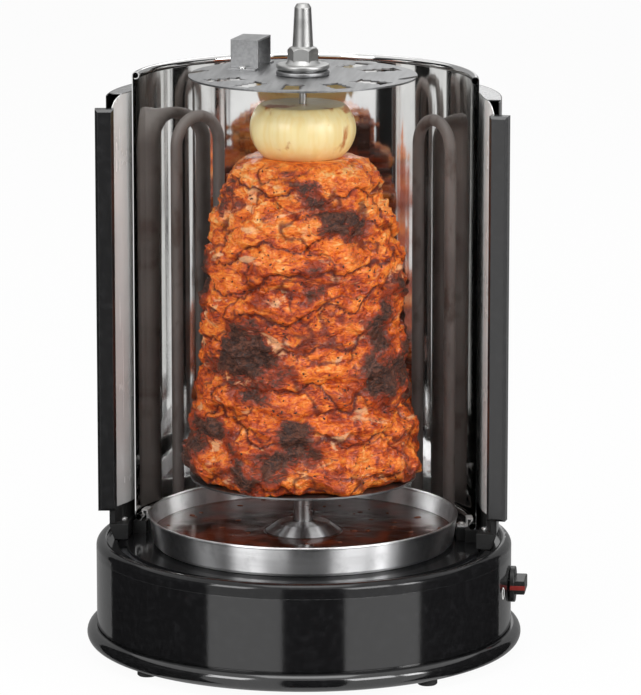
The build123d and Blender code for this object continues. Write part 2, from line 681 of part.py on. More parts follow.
def motor_bracket():
    sheet = BRACKET_SHEET
    half = BRACKET_LENGTH / 2
    outline = Polyline([
        (-half, GEARCASE_TOP),
        (half, GEARCASE_TOP),
        (half, DECK_UNDER - sheet),
        (half + BRACKET_EAR, DECK_UNDER - sheet),
        (half + BRACKET_EAR, DECK_UNDER),
        (half - sheet, DECK_UNDER),
        (half - sheet, BRACKET_LEVEL),
        (sheet - half, BRACKET_LEVEL),
        (sheet - half, DECK_UNDER),
        (-half - BRACKET_EAR, DECK_UNDER),
        (-half - BRACKET_EAR, DECK_UNDER - sheet),
        (-half, DECK_UNDER - sheet),
    ], close=True)
    strip = extrude(Plane.XZ * make_face(outline), BRACKET_WIDTH / 2, both=True)
    strip = Pos(0, AXIS_Y, 0) * strip
    strip -= disc(DRIVE_RADIUS + 1.0, GEARCASE_TOP, BRACKET_LEVEL, (0, AXIS_Y))
    for place in bracket_screw_places():
        strip -= disc(SCREW_RADIUS + SCREW_GAP, DECK_UNDER - sheet, DECK_UNDER, place)
    for place in motor_screw_places():
        strip -= disc(SCREW_RADIUS + SCREW_GAP, GEARCASE_TOP, BRACKET_LEVEL, place)
    return strip


def motor_screw_places():
    return [(sx * MOTOR_EAR_SPACING / 2, AXIS_Y) for sx in (1, -1)]


def motor_can():
    body = disc(MOTOR_RADIUS, MOTOR_TOP - MOTOR_HEIGHT, MOTOR_TOP, (0, AXIS_Y))
    return fillet(body.edges().sort_by(Axis.Z)[0], BRACKET_SHEET)


def motor_gearcase():
    body = disc(MOTOR_RADIUS, MOTOR_TOP, GEARCASE_TOP, (0, AXIS_Y))
    ear_bottom = GEARCASE_TOP - BRACKET_SHEET
    for x, y in motor_screw_places():
        body += disc(MOTOR_EAR_RADIUS, ear_bottom, GEARCASE_TOP, (x, y))
        inwards = Box(MOTOR_EAR_SPACING / 2 - MOTOR_RADIUS + 2, 2 * MOTOR_EAR_RADIUS, BRACKET_SHEET)
        middle = (abs(x) + MOTOR_RADIUS - 2) / 2 * math.copysign(1, x)
        body += Pos(middle, y, ear_bottom + BRACKET_SHEET / 2) * inwards
    for place in motor_screw_places():
        body -= disc(SCREW_RADIUS + SCREW_GAP, MOTOR_TOP, GEARCASE_TOP, place)
    bore = disc(MOTOR_SHAFT_RADIUS + RUNNING_CLEARANCE, MOTOR_TOP + 1, GEARCASE_TOP, (0, AXIS_Y))
    return body - bore


def motor_screws():
    ears = screws_up(motor_screw_places(), GEARCASE_TOP - BRACKET_SHEET, MOTOR_SCREW)
    bracket = screws_up(bracket_screw_places(), DECK_UNDER - BRACKET_SHEET, BRACKET_SCREW)
    return group(list(ears.solids()) + list(bracket.solids()))


def motor_shaft():
    shaft = disc(MOTOR_SHAFT_RADIUS, MOTOR_TOP + 1.5, DRIVE_BOTTOM + SOCKET_DEPTH - 1, (0, AXIS_Y))
    flat = Box(2 * MOTOR_SHAFT_RADIUS, MOTOR_SHAFT_RADIUS, SOCKET_DEPTH)
    reach = SHAFT_FLAT + MOTOR_SHAFT_RADIUS / 2
    return shaft - Pos(0, AXIS_Y + reach, DRIVE_BOTTOM + SOCKET_DEPTH / 2) * flat


def shaft_bush():
    body = disc(BUSH_RADIUS, DECK_UNDER - BUSH_TAIL, DECK_LEVEL, (0, AXIS_Y))
    body += disc(BUSH_FLANGE, DECK_LEVEL, BUSH_TOP, (0, AXIS_Y))
    bore = DRIVE_RADIUS + RUNNING_CLEARANCE
    return body - disc(bore, DECK_UNDER - BUSH_TAIL, BUSH_TOP, (0, AXIS_Y))


def drive_shaft():
    place = (0, AXIS_Y)
    body = disc(DRIVE_RADIUS, DRIVE_BOTTOM, COLLAR_BOTTOM, place)
    body += disc(DRIVE_COLLAR, COLLAR_BOTTOM, COLLAR_TOP, place)
    body += hexagon(DRIVE_HEX, COLLAR_TOP, HEX_TOP, place)
    bore = MOTOR_SHAFT_RADIUS + RUNNING_CLEARANCE
    socket = disc(bore, DRIVE_BOTTOM, DRIVE_BOTTOM + SOCKET_DEPTH, place)
    key = Box(2 * DRIVE_RADIUS, MOTOR_SHAFT_RADIUS, SOCKET_DEPTH)
    reach = SHAFT_FLAT + MOTOR_SHAFT_RADIUS / 2 + RUNNING_CLEARANCE
    flat = Pos(0, AXIS_Y + reach, DRIVE_BOTTOM + SOCKET_DEPTH / 2) * key
    return body - (socket - flat)


# ---------------------------------------------------------------- switch, wiring points, inlet
def along_switch(shape):
    """Lay a shape made along Z onto the switch axis, its origin at the base wall's outside."""
    return facing(BASE_RADIUS, 90, SWITCH_LEVEL) * Rot(0, 90, 0) * shape


def switch_body():
    front = -BASE_WALL - SWITCH_BOX_GAP
    depth = SWITCH_BOX_DEPTH
    box = Pos(0, 0, front - depth / 2) * Box(SWITCH_BOX, SWITCH_BOX, depth)
    box = fillet(box.edges().filter_by(Axis.Z), BASE_WALL)
    neck = disc(SWITCH_NECK, front, SWITCH_NUT_HEIGHT)
    bore_end = SWITCH_NUT_HEIGHT - depth / 2
    bore = disc(SWITCH_SHAFT + RUNNING_CLEARANCE, bore_end, SWITCH_NUT_HEIGHT)
    body = box + neck - bore
    tab = Box(TAB_WIDTH, TAB_SHEET, TAB_LENGTH)
    for row in (-1, 0, 1):
        body += Pos(0, row * SWITCH_TAB_PITCH, front - depth - TAB_LENGTH / 2) * tab
    return along_switch(body)


def switch_nut():
    nut = hexagon(SWITCH_NUT_ACROSS, 0, SWITCH_NUT_HEIGHT)
    return along_switch(nut - disc(SWITCH_NECK + SCREW_GAP / 2, 0, SWITCH_NUT_HEIGHT))


def knob_pointer_block(gap=0.0):
    """The red pointer at the front end of the grip bar; its gap enlarges it for the slot."""
    size = Box(KNOB_POINTER + 2 * gap, KNOB_POINTER + 2 * gap, KNOB_PROUD)
    edge = KNOB_RADIUS - KNOB_POINTER / 2
    return Pos(0, -edge, KNOB_GAP + KNOB_SKIRT + KNOB_PROUD / 2 - KNOB_POINTER - gap) * size


def switch_knob():
    skirt = disc(KNOB_RADIUS, KNOB_GAP, KNOB_GAP + KNOB_SKIRT)
    skirt = fillet(skirt.edges().sort_by(Axis.Z)[-1], 0.8)
    skirt -= disc(KNOB_RECESS, KNOB_GAP, SWITCH_NUT_HEIGHT + KNOB_GAP)
    low = KNOB_GAP + KNOB_SKIRT
    bar = Box(KNOB_BAR, 2 * KNOB_RADIUS, KNOB_PROUD - low)
    bar = Pos(0, 0, (low + KNOB_PROUD) / 2) * bar
    bar = fillet(bar.edges().group_by(Axis.Z)[-1], 1.0)
    bar &= disc(KNOB_RADIUS, 0, KNOB_PROUD)
    shaft_end = SWITCH_NUT_HEIGHT - SWITCH_BOX_DEPTH / 2 + 0.5
    shaft = disc(SWITCH_SHAFT, shaft_end, low)
    body = skirt + bar + shaft
    return along_switch(body - knob_pointer_block(0.05))


def knob_pointer():
    inside = disc(KNOB_RADIUS, 0, KNOB_PROUD)
    return along_switch(knob_pointer_block() & inside)


def switch_marks():
    """A printed 0 and 1 beside the knob, a film on the round wall."""
    high = MARK_HEIGHT
    zero = Ellipse(high * 0.34, high / 2) - Ellipse(high * 0.22, high * 0.38)
    flag = Pos(-high * 0.12, high * 0.36) * Rot(0, 0, 35) * Rectangle(high * 0.3, high * 0.13)
    one = Rectangle(high * 0.14, high) + flag
    upright = Plane((0, 0, 0), x_dir=(0, 1, 0), z_dir=(1, 0, 0))
    film = ring(BASE_RADIUS + MARK_PROUD, BASE_RADIUS, WALL_BOTTOM, WALL_TOP)
    marks = []
    for azimuth, sign in zip(MARK_ANGLES, (zero, one)):
        stamp = upright.location * extrude(sign, 4)
        marks.append(facing(BASE_RADIUS - 2, azimuth, SWITCH_LEVEL) * stamp & film)
    return group(marks)


def thermal_cutout():
    place = (0, CUTOUT_PLACE)
    body = disc(CUTOUT_RADIUS, DECK_UNDER - CUTOUT_HEIGHT, DECK_UNDER, place)
    body += disc(CUTOUT_FLANGE, DECK_UNDER - 1.0, DECK_UNDER, place)
    tab = Box(TAB_SHEET, TAB_WIDTH, TAB_LENGTH)
    level = DECK_UNDER - CUTOUT_HEIGHT - TAB_LENGTH / 2
    for side in (1, -1):
        body += Pos(side * CUTOUT_RADIUS / 2, CUTOUT_PLACE, level) * tab
    return body


def terminal_block():
    length, depth, height = BLOCK_SIZE
    x_middle, y_middle = BLOCK_PLACE
    level = FLOOR + FLOOR_THICKNESS + height / 2
    body = Pos(x_middle, y_middle, level) * Box(length, depth, height)
    bore = Rot(90, 0, 0) * Cylinder(BLOCK_BORE, depth)
    for row in (-1, 0, 1):
        x = x_middle + row * length / 3
        body -= Pos(x, y_middle, level) * bore
        body -= disc(SCREW_RADIUS, level, level + height, (x, y_middle - depth / 4))
    return body


def cord_inlet():
    """The bushed hole in the rear wall that the mains lead goes through."""
    flange = disc(INLET_FLANGE, 0, INLET_PROUD)
    flange = fillet(flange.edges().sort_by(Axis.Z)[-1], 1.5)
    flange -= disc(INLET_FLANGE + 1, 0, INLET_SEAT)
    barrel = disc(INLET_RADIUS, -BASE_WALL - INLET_TAIL, INLET_PROUD - 1)
    bore = disc(INLET_BORE, -BASE_WALL - INLET_TAIL, INLET_PROUD)
    lock = disc(INLET_FLANGE - 1, -BASE_WALL - INLET_TAIL, -BASE_WALL - INLET_TAIL + 2)
    body = flange + barrel + lock - bore
    return facing(BASE_RADIUS, 180, INLET_LEVEL) * Rot(0, 90, 0) * body


def cord_clamp():
    level = FLOOR + FLOOR_THICKNESS
    base = Pos(0, 0, CLAMP_HEIGHT / 2) * Box(CLAMP_WIDTH, CLAMP_DEPTH, CLAMP_HEIGHT)
    groove = Pos(0, 0, CLAMP_HEIGHT) * Rot(90, 0, 0) * Cylinder(INLET_BORE, CLAMP_DEPTH)
    return Pos(0, CLAMP_PLACE, level) * (base - groove)


# ---------------------------------------------------------------- drip pan
def drip_pan():
    foot = PAN_FLOOR
    cone_top = foot + PAN_CONE_HEIGHT
    hub_top = cone_top + PAN_HUB_RISE
    hole = POST_RADIUS + PAN_POST_GAP
    bead_level = PAN_RIM_LEVEL - PAN_BEAD
    bead_radius = PAN_RIM_RADIUS - PAN_BEAD
    half = PAN_SHEET / 2
    body = turned([
        (PAN_FLOOR_RADIUS - PAN_CORNER, foot),
        (PAN_CONE_FOOT, foot),
        (PAN_CONE_TOP, cone_top),
        (hole, hub_top),
        (hole, hub_top + PAN_SHEET),
        (PAN_CONE_TOP + half, cone_top + PAN_SHEET),
        (PAN_CONE_FOOT + half, foot + PAN_SHEET),
        (PAN_FLOOR_RADIUS - PAN_CORNER - half, foot + PAN_SHEET),
        (PAN_FLOOR_RADIUS - PAN_SHEET, foot + PAN_CORNER + half),
        (bead_radius - half, bead_level),
        (bead_radius + half, bead_level),
        (PAN_FLOOR_RADIUS, foot + PAN_CORNER),
    ])
    bead = Plane.XZ * Pos(bead_radius, bead_level) * Circle(PAN_BEAD)
    return on_spit_axis(body + revolve(bead, Axis.Z, 360.0))


def drippings():
    bottom = PAN_INSIDE_FLOOR
    top = bottom + DRIPPINGS_DEPTH
    half = PAN_SHEET / 2
    slope = (PAN_CONE_FOOT - PAN_CONE_TOP) / PAN_CONE_HEIGHT
    lean = (PAN_RIM_RADIUS - PAN_BEAD - half - PAN_FLOOR_RADIUS + PAN_SHEET) / (
        PAN_RIM_LEVEL - PAN_BEAD - PAN_FLOOR - PAN_CORNER - half)
    cone_foot = PAN_CONE_FOOT + half + SCREW_GAP
    wall_foot = PAN_FLOOR_RADIUS - PAN_SHEET - SCREW_GAP
    corner = PAN_CORNER + half - PAN_SHEET
    body = turned([
        (cone_foot, bottom),
        (wall_foot - corner, bottom),
        (wall_foot, bottom + corner),
        (wall_foot + lean * (DRIPPINGS_DEPTH - corner), top),
        (cone_foot - slope * DRIPPINGS_DEPTH, top),
    ])
    return on_spit_axis(body)


# ---------------------------------------------------------------- spit
def spit_post():
    top = LOWER_DISC_LEVEL - DISC_SHEET
    body = disc(POST_RADIUS, POST_BOTTOM, top)
    body += disc(POST_FLANGE, top - POST_FLANGE_HEIGHT, top)
    body -= hexagon(DRIVE_HEX + 2 * HEX_GAP, POST_BOTTOM, HEX_TOP + HEX_GAP)
    return on_spit_axis(body - disc(ROD_RADIUS, ROD_BOTTOM, top))


def lower_disc():
    body = ring(DISC_RADIUS, ROD_RADIUS, LOWER_DISC_LEVEL - DISC_SHEET, LOWER_DISC_LEVEL)
    return on_spit_axis(body)


def spit_rod():
    return on_spit_axis(disc(ROD_RADIUS, ROD_BOTTOM, ROD_TOP))


def window_outline():
    """A skewer window with toothed sides, lying along X from the plate's middle."""
    length = WINDOW_OUTSIDE - WINDOW_INSIDE
    half = WINDOW_WIDTH / 2
    near = []
    for step in range(WINDOW_STEPS + 1):
        x = WINDOW_INSIDE + length * step / WINDOW_STEPS
        y = half - (WINDOW_TOOTH if step % 2 else 0.0)
        near.append((x, y))
    far = [(x, -y) for x, y in reversed(near)]
    inner_tooth = (WINDOW_INSIDE + WINDOW_TOOTH, 0.0)
    return make_face(Polyline(near + far + [inner_tooth], close=True))


def hook_outline():
    """A slanting notch that leaves a hook at the plate's rim, lying along X."""
    slot = Rectangle(2 * HOOK_DEPTH, HOOK_WIDTH) + Pos(-HOOK_DEPTH, 0) * Circle(HOOK_WIDTH / 2)
    return Pos(DISC_RADIUS, 0) * Rot(0, 0, HOOK_SLANT) * slot


def upper_disc():
    under = UPPER_DISC_LEVEL - DISC_SHEET
    body = ring(DISC_RADIUS, ROD_RADIUS, under, UPPER_DISC_LEVEL)
    window = Pos(0, 0, under) * extrude(window_outline(), DISC_SHEET)
    hook = Pos(0, 0, under) * extrude(hook_outline(), DISC_SHEET)
    step = 360.0 / DISC_WINDOWS
    for number in range(DISC_WINDOWS):
        azimuth = number * step
        if azimuth in PLAIN_AZIMUTHS:
            continue
        cut = hook if azimuth in HOOK_AZIMUTHS else window
        body -= Rot(0, 0, azimuth - 90.0) * cut
    return on_spit_axis(body)


def cone_nut():
    top = UPPER_DISC_LEVEL - DISC_SHEET
    bottom = top - CONE_NUT_HEIGHT
    body = turned([
        (ROD_RADIUS, bottom),
        (CONE_NUT_RADIUS * 0.55, bottom),
        (CONE_NUT_RADIUS, top - CONE_NUT_HEIGHT * 0.3),
        (CONE_NUT_RADIUS, top),
        (ROD_RADIUS, top),
    ])
    return on_spit_axis(body)


def clamp_washer():
    low = UPPER_DISC_LEVEL
    edge = low + FLANGE_PLATE_HEIGHT
    plate = ring(FLANGE_PLATE_RADIUS, ROD_RADIUS, low, edge)
    rims = plate.edges().filter_by(GeomType.CIRCLE).group_by(SortBy.RADIUS)[-1]
    plate = fillet(rims, FLANGE_PLATE_HEIGHT * 0.4)
    collar = ring(FLANGE_PLATE_RADIUS * 0.78, ROD_RADIUS, edge, edge + FLANGE_PLATE_GAP)
    return on_spit_axis(plate + collar)


def top_grip():
    low = UPPER_DISC_LEVEL + FLANGE_PLATE_HEIGHT + FLANGE_PLATE_GAP
    edge = FLANGE_PLATES_TOP
    hex_top = edge + GRIP_HEX_HEIGHT
    corner = GRIP_HEX / math.sqrt(3)
    plate = disc(FLANGE_PLATE_RADIUS, low, edge)
    plate = fillet(plate.edges().filter_by(GeomType.CIRCLE), FLANGE_PLATE_HEIGHT * 0.4)
    foot = turned([
        (0, edge),
        (GRIP_FOOT_RADIUS, edge),
        (GRIP_HEX * 0.52, edge + GRIP_FOOT_HEIGHT),
        (0, edge + GRIP_FOOT_HEIGHT),
    ])
    dome = turned([
        (0, edge),
        (corner, edge),
        (corner, hex_top - GRIP_FOOT_HEIGHT),
        (GRIP_HEX * 0.5, hex_top - GRIP_FOOT_HEIGHT * 0.35),
        (GRIP_SHANK_RADIUS, hex_top),
        (0, hex_top),
    ])
    tip = GRIP_TOP - GRIP_TIP_RADIUS * 0.45
    shank = turned([
        (0, hex_top),
        (GRIP_SHANK_RADIUS, hex_top),
        (GRIP_SHANK_RADIUS * 0.96, hex_top + GRIP_FOOT_HEIGHT * 2),
        (GRIP_TIP_RADIUS, tip),
        (GRIP_TIP_RADIUS * 0.72, GRIP_TOP),
        (0, GRIP_TOP),
    ])
    body = plate + foot + (hexagon(GRIP_HEX, edge, hex_top) & dome) + shank
    return on_spit_axis(body - disc(ROD_RADIUS, low, ROD_TOP))


def on_strap(shape):
    place = Pos(STRAP_PLACE[0], STRAP_PLACE[1], UPPER_DISC_LEVEL)
    return on_spit_axis(place * Rot(0, 0, STRAP_TURN) * shape)


def strap_foot_places():
    reach = STRAP_FOOT - STRAP_WIDTH / 4
    return (-reach, STRAP_LENGTH + reach)


def lifting_strap():
    sheet = STRAP_SHEET
    toe = STRAP_FOOT - STRAP_WIDTH / 4
    outline = Polyline([
        (-toe, 0),
        (sheet, 0),
        (sheet, STRAP_HEIGHT - sheet),
        (STRAP_LENGTH - sheet, STRAP_HEIGHT - sheet),
        (STRAP_LENGTH - sheet, 0),
        (STRAP_LENGTH + toe, 0),
        (STRAP_LENGTH + toe, sheet),
        (STRAP_LENGTH, sheet),
        (STRAP_LENGTH, STRAP_HEIGHT),
        (0, STRAP_HEIGHT),
        (0, sheet),
        (-toe, sheet),
    ], close=True)
    body = extrude(Plane.YZ * make_face(outline), STRAP_WIDTH / 2, both=True)
    for y in strap_foot_places():
        body += Pos(0, y, sheet / 2) * Box(STRAP_WIDTH, STRAP_WIDTH / 4, sheet)
        body -= disc(RIVET_RADIUS * 0.6, 0, sheet, (0, y))
    return on_strap(body)


def strap_rivets():
    rivets = []
    for y in strap_foot_places():
        head = disc(RIVET_RADIUS, STRAP_SHEET, STRAP_SHEET + RIVET_RADIUS * 0.5, (0, y))
        head = fillet(head.edges().sort_by(Axis.Z)[-1], RIVET_RADIUS * 0.4)
        rivets.append(on_strap(head + disc(RIVET_RADIUS * 0.6, 0, STRAP_SHEET, (0, y))))
    return group(rivets)


# ---------------------------------------------------------------- food
def meat_cone():
    """Stacked slices: a bulging outline of arcs turned round the rod."""
    height = MEAT_TOP - LOWER_DISC_LEVEL
    hem = [Vector(DISC_RADIUS * r, 0, LOWER_DISC_LEVEL + height * z) for r, z in MEAT_HEM]
    edges = []
    for number in range(0, len(hem) - 1, 2):
        edges.append(ThreePointArc(hem[number], hem[number + 1], hem[number + 2]))
    bore = ROD_RADIUS + BORE_GAP
    axis_end = Vector(bore, 0, MEAT_TOP)
    axis_start = Vector(bore, 0, LOWER_DISC_LEVEL)
    edges.append(Polyline(hem[-1], axis_end, axis_start, hem[0]))
    return on_spit_axis(revolve(outline_face(edges), Axis.Z, 360.0))


def onion():
    middle = (MEAT_TOP + ONION_TOP) / 2 - 2.0
    bore = ROD_RADIUS + BORE_GAP
    foot = ONION_RADIUS * 0.74
    edges = [
        ThreePointArc((foot, 0, MEAT_TOP), (ONION_RADIUS, 0, middle), (ONION_TOP_RADIUS, 0, ONION_TOP)),
        Polyline(
            (ONION_TOP_RADIUS, 0, ONION_TOP),
            (bore, 0, ONION_TOP),
            (bore, 0, MEAT_TOP),
            (foot, 0, MEAT_TOP),
        ),
    ]
    return on_spit_axis(revolve(outline_face(edges), Axis.Z, 360.0))


# ---------------------------------------------------------------- doors: the right one, then its mirror
def liner_edge(radius, front_radius):
    """The liner's plan line: round the reflector, then flaring out to the handle."""
    start = polar(radius, DOOR_REAR)
    middle = polar(radius, (DOOR_REAR + LINER_FLARE_START) / 2)
    turn = polar(radius, LINER_FLARE_START)
    front = polar(front_radius, DOOR_FRONT)
    angle = math.radians(LINER_FLARE_START)
    forwards = Vector(-math.cos(angle), -math.sin(angle), 0)
    return [ThreePointArc(start, middle, turn), TangentArc(turn, front, tangent=forwards)]


def door_wedge(bottom, top):
    """The space between the liner's inside and the skin's inside, between two levels."""
    inner = liner_edge(LINER_RADIUS - SHEET, LINER_FRONT_RADIUS - SHEET)
    outside = DOOR_RADIUS - SHEET
    front = polar(outside, DOOR_FRONT)
    rear = polar(outside, DOOR_REAR)
    outer = ThreePointArc(front, polar(outside, (DOOR_FRONT + DOOR_REAR) / 2), rear)
    face = outline_face(inner + [Line(inner[-1] @ 1, front), outer, Line(rear, inner[0] @ 0)])
    return Pos(0, 0, bottom) * extrude(face, top - bottom, dir=(0, 0, 1))


def handle_place():
    """The middle of the handle's front face, X outwards."""
    middle = (HANDLE_TOP + HANDLE_BOTTOM) / 2
    return facing(HANDLE_OUTSIDE - HANDLE_DEPTH / 2, HANDLE_FRONT, middle)


def door_handle():
    height = HANDLE_TOP - HANDLE_BOTTOM
    block = Pos(0, HANDLE_WIDTH / 2, 0) * Box(HANDLE_DEPTH, HANDLE_WIDTH, height)
    front = block.faces().sort_by(Axis.Y)[0]
    return handle_place() * chamfer(front.edges(), HANDLE_CHAMFER)


def door_skin():
    span = DOOR_REAR - HANDLE_FRONT
    body = ring(DOOR_RADIUS, DOOR_RADIUS - SHEET, RAIL_LEDGE, DOOR_TOP, HANDLE_FRONT, span)
    return body - front_zone()


def front_zone():
    """All in front of the door sheets' front edges, where the handle begins."""
    reach = 4 * HANDLE_DEPTH
    zone = Pos(0, HANDLE_WIDTH - reach / 2, 0) * Box(reach, reach, 2 * DOOR_TOP)
    return handle_place() * zone


def door_liner():
    outer = liner_edge(LINER_RADIUS, LINER_FRONT_RADIUS)
    inner = liner_edge(LINER_RADIUS - SHEET, LINER_FRONT_RADIUS - SHEET)
    ends = [Line(outer[-1] @ 1, inner[-1] @ 1), Line(inner[0] @ 0, outer[0] @ 0)]
    face = outline_face(outer + inner + ends)
    top = DOOR_TOP - SHEET
    body = Pos(0, 0, RAIL_TOP) * extrude(face, top - RAIL_TOP, dir=(0, 0, 1))
    place = facing(LINER_FRONT_RADIUS, DOOR_FRONT, top - LINER_CORNER)
    square = Pos(0, 0, LINER_CORNER) * Box(6 * LINER_CORNER, 2 * LINER_CORNER, 2 * LINER_CORNER)
    rounding = Pos(0, LINER_CORNER, 0) * Rot(0, 90, 0) * Cylinder(LINER_CORNER, 8 * LINER_CORNER)
    return body - front_zone() - place * (square - rounding)


def door_cap():
    under = DOOR_TOP - SHEET
    inside = LINER_RADIUS - SHEET - 1
    back = ring(DOOR_RADIUS, inside, under, DOOR_TOP, CAP_FRONT, DOOR_REAR - CAP_FRONT)
    return door_wedge(under, DOOR_TOP) & back


def door_rail():
    inside = LINER_RADIUS - SHEET
    lower = turned([
        (inside, RAIL_BOTTOM),
        (DOOR_RADIUS - RAIL_TAPER, RAIL_BOTTOM),
        (DOOR_RADIUS, RAIL_LEDGE),
        (inside, RAIL_LEDGE),
    ], RAIL_FRONT, DOOR_REAR - RAIL_FRONT)
    body = lower + (door_wedge(RAIL_LEDGE, RAIL_TOP) - front_zone())
    for x, y in polar_places(TRACK_RADIUS, DOOR_SCREW_ANGLES):
        body -= disc(SCREW_HEAD_RADIUS + SCREW_GAP, RAIL_LEDGE, RAIL_TOP, (x, y))
        body -= disc(DOOR_SCREW_RADIUS + SCREW_GAP, RAIL_BOTTOM, RAIL_LEDGE, (x, y))
    return body


def door_shoe():
    """The foot that runs in the track: a stem through the slot and a wider sole."""
    stem = SLOT_WIDTH / 2 - RUNNING_GAP
    sole = CHAMBER_WIDTH / 2 - RUNNING_GAP
    sole_top = DECK_UNDER - RUNNING_GAP
    sole_bottom = TRACK_FLOOR + RUNNING_GAP
    start = SHOE_FRONT
    span = DOOR_REAR - SHOE_FRONT - 1.0
    middle = TRACK_RADIUS
    body = ring(middle + stem, middle - stem, sole_bottom, RAIL_BOTTOM, start, span)
    body += ring(middle + sole, middle - sole, sole_bottom, sole_top, start, span)
    hole_end = RAIL_LEDGE - LONG_SCREW - SCREW_GAP
    for place in polar_places(TRACK_RADIUS, DOOR_SCREW_ANGLES):
        body -= disc(DOOR_SCREW_RADIUS + SCREW_GAP, hole_end, RAIL_BOTTOM, place)
    return body


def door_screws():
    screw = pan_screw(LONG_SCREW, radius=DOOR_SCREW_RADIUS)
    places = polar_places(TRACK_RADIUS, DOOR_SCREW_ANGLES)
    return group([Pos(x, y, RAIL_LEDGE) * screw for x, y in places])


DOOR_PIECES = {
    "door_skin": door_skin,
    "door_liner": door_liner,
    "door_cap": door_cap,
    "door_rail": door_rail,
    "door_shoe": door_shoe,
    "door_handle": door_handle,
    "door_screws": door_screws,
}

PIECES = {
    "base_pan": base_pan,
    "base_shell": base_shell,
    "shoulder_ring": shoulder_ring,
    "deck_plate": deck_plate,
    "door_track": door_track,
    "rubber_feet": rubber_feet,
    "base_screws": base_screws,
    "track_screws": track_screws,
    "reflector": reflector,
    "reflector_seat": reflector_seat,
    "reflector_clips": reflector_clips,
    "clip_screws": clip_screws,
    "right_element": lambda: heating_element(1),
    "left_element": lambda: heating_element(-1),
    "element_ferrules": element_ferrules,
    "element_insulators": element_insulators,
    "element_tabs": element_tabs,
    "motor_bracket": motor_bracket,
    "motor_can": motor_can,
    "motor_gearcase": motor_gearcase,
    "motor_screws": motor_screws,
    "motor_shaft": motor_shaft,
    "shaft_bush": shaft_bush,
    "drive_shaft": drive_shaft,
    "switch_body": switch_body,
    "switch_nut": switch_nut,
    "switch_knob": switch_knob,
    "knob_pointer": knob_pointer,
    "switch_marks": switch_marks,
    "thermal_cutout": thermal_cutout,
    "terminal_block": terminal_block,
    "cord_inlet": cord_inlet,
    "cord_clamp": cord_clamp,
    "drip_pan": drip_pan,
    "drippings": drippings,
    "spit_post": spit_post,
    "lower_disc": lower_disc,
    "spit_rod": spit_rod,
    "meat_cone": meat_cone,
    "onion": onion,
    "cone_nut": cone_nut,
    "upper_disc": upper_disc,
    "clamp_washer": clamp_washer,
    "top_grip": top_grip,
    "lifting_strap": lifting_strap,
    "strap_rivets": strap_rivets,
}


def write(name, shape):
    export_step(shape, f"parts/{name}.step")


os.makedirs("parts", exist_ok=True)
for name, make in PIECES.items():
    write(name, make())
for name, make in DOOR_PIECES.items():
    piece = make()
    write(f"right_{name}", piece)
    write(f"left_{name}", mirror(piece, about=Plane.YZ))
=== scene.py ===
import json
import math
import bmesh
import bpy
import numpy as np
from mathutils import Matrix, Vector, noise


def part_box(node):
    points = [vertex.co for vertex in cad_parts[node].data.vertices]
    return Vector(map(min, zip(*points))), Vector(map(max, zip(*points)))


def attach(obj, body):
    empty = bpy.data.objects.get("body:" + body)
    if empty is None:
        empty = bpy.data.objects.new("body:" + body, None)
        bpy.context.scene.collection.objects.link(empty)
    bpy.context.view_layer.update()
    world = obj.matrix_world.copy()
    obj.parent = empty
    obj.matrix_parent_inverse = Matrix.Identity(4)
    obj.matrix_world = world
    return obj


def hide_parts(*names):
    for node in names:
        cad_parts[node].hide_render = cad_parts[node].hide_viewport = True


# Table-top kebab grill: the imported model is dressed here, and the food is modelled in full.
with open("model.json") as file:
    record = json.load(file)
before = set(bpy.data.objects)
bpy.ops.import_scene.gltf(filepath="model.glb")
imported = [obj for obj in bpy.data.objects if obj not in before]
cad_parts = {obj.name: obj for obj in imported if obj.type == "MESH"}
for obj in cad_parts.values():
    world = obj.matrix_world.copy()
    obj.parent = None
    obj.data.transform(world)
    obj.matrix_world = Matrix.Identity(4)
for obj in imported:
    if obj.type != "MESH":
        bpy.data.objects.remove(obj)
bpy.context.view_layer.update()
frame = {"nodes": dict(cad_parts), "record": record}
nodes = frame["nodes"]

# ---------------------------------------------------------------- sizes in metres, counts and levels
SPIT_Y = -0.004                    # the spit stands this far in front of the base's middle
CAMERA_AZIMUTH = 7.0               # degrees from the front towards the switch side
CAMERA_DISTANCE = 3.1326
CAMERA_HEIGHT = 0.8303
CAMERA_PITCH = 11.333
CAMERA_TURN = 0.202                # aimed a little right of the grill's axis
CAMERA_LENS = 249.9                # millimetres, on a 36 mm sensor
MEAT_AROUND = 400
MEAT_ROWS = 220
MEAT_INSET = 0.0065                # the skin's valleys, inside the plain cone
MEAT_WIDEST = 0.0812               # no shred reaches past this radius
SLICE_PITCH = 0.026                # height of one layer of the stack
SECOND_PITCH = 0.62                # the second stack's, as a share of it
LIP_REACH = 0.0040                 # how far each kind of unevenness stands out
SECOND_LIP_REACH = 0.0022
LUMP_REACH = 0.0028
SHRED_REACH = 0.0016
CHUNK_REACH = 0.0032
SHRED_DROOP = 0.0022
HEM_HANG = 0.009                   # how far the torn foot hangs down
ONION_AROUND = 200
ONION_ROWS = 48
ONION_INSET = 0.0008
ONION_SWELL = 0.0011
ONION_RIBS = 26.0
ONION_RIB_REACH = 0.00007
ONION_ROUND_OVER = 0.0004
ONION_CUT_STEP = 0.0003            # every other layer stands this much higher in the cut
ONION_CUT_RINGS = (0.985, 0.94, 0.85, 0.70, 0.54, 0.38, 0.22)   # shares of the cut's radius
FAT_AROUND = 220
FAT_ROWS = 36
FAT_INNER_TOP = 0.0250             # radii where the fat meets the pan's cone
FAT_INNER_FOOT = 0.0346
FAT_WALL_LEAN = 0.0032
FAT_BRIM = 0.0002                  # how far its edges lie below the plain solid's top
FAT_LEVEL = 0.0006                 # and how far the rest does
FAT_RIPPLE = 0.0002
CARD_RADIUS = 1.9                  # the studio's cards stand this far off
CARD_LOW = -2.2
CARD_HIGH = 1.5
CARD_POSTS = 24
FLOOR_REACH = 30.0
FLOOR_GLOW = 0.95                  # the floor's own white, to the camera alone
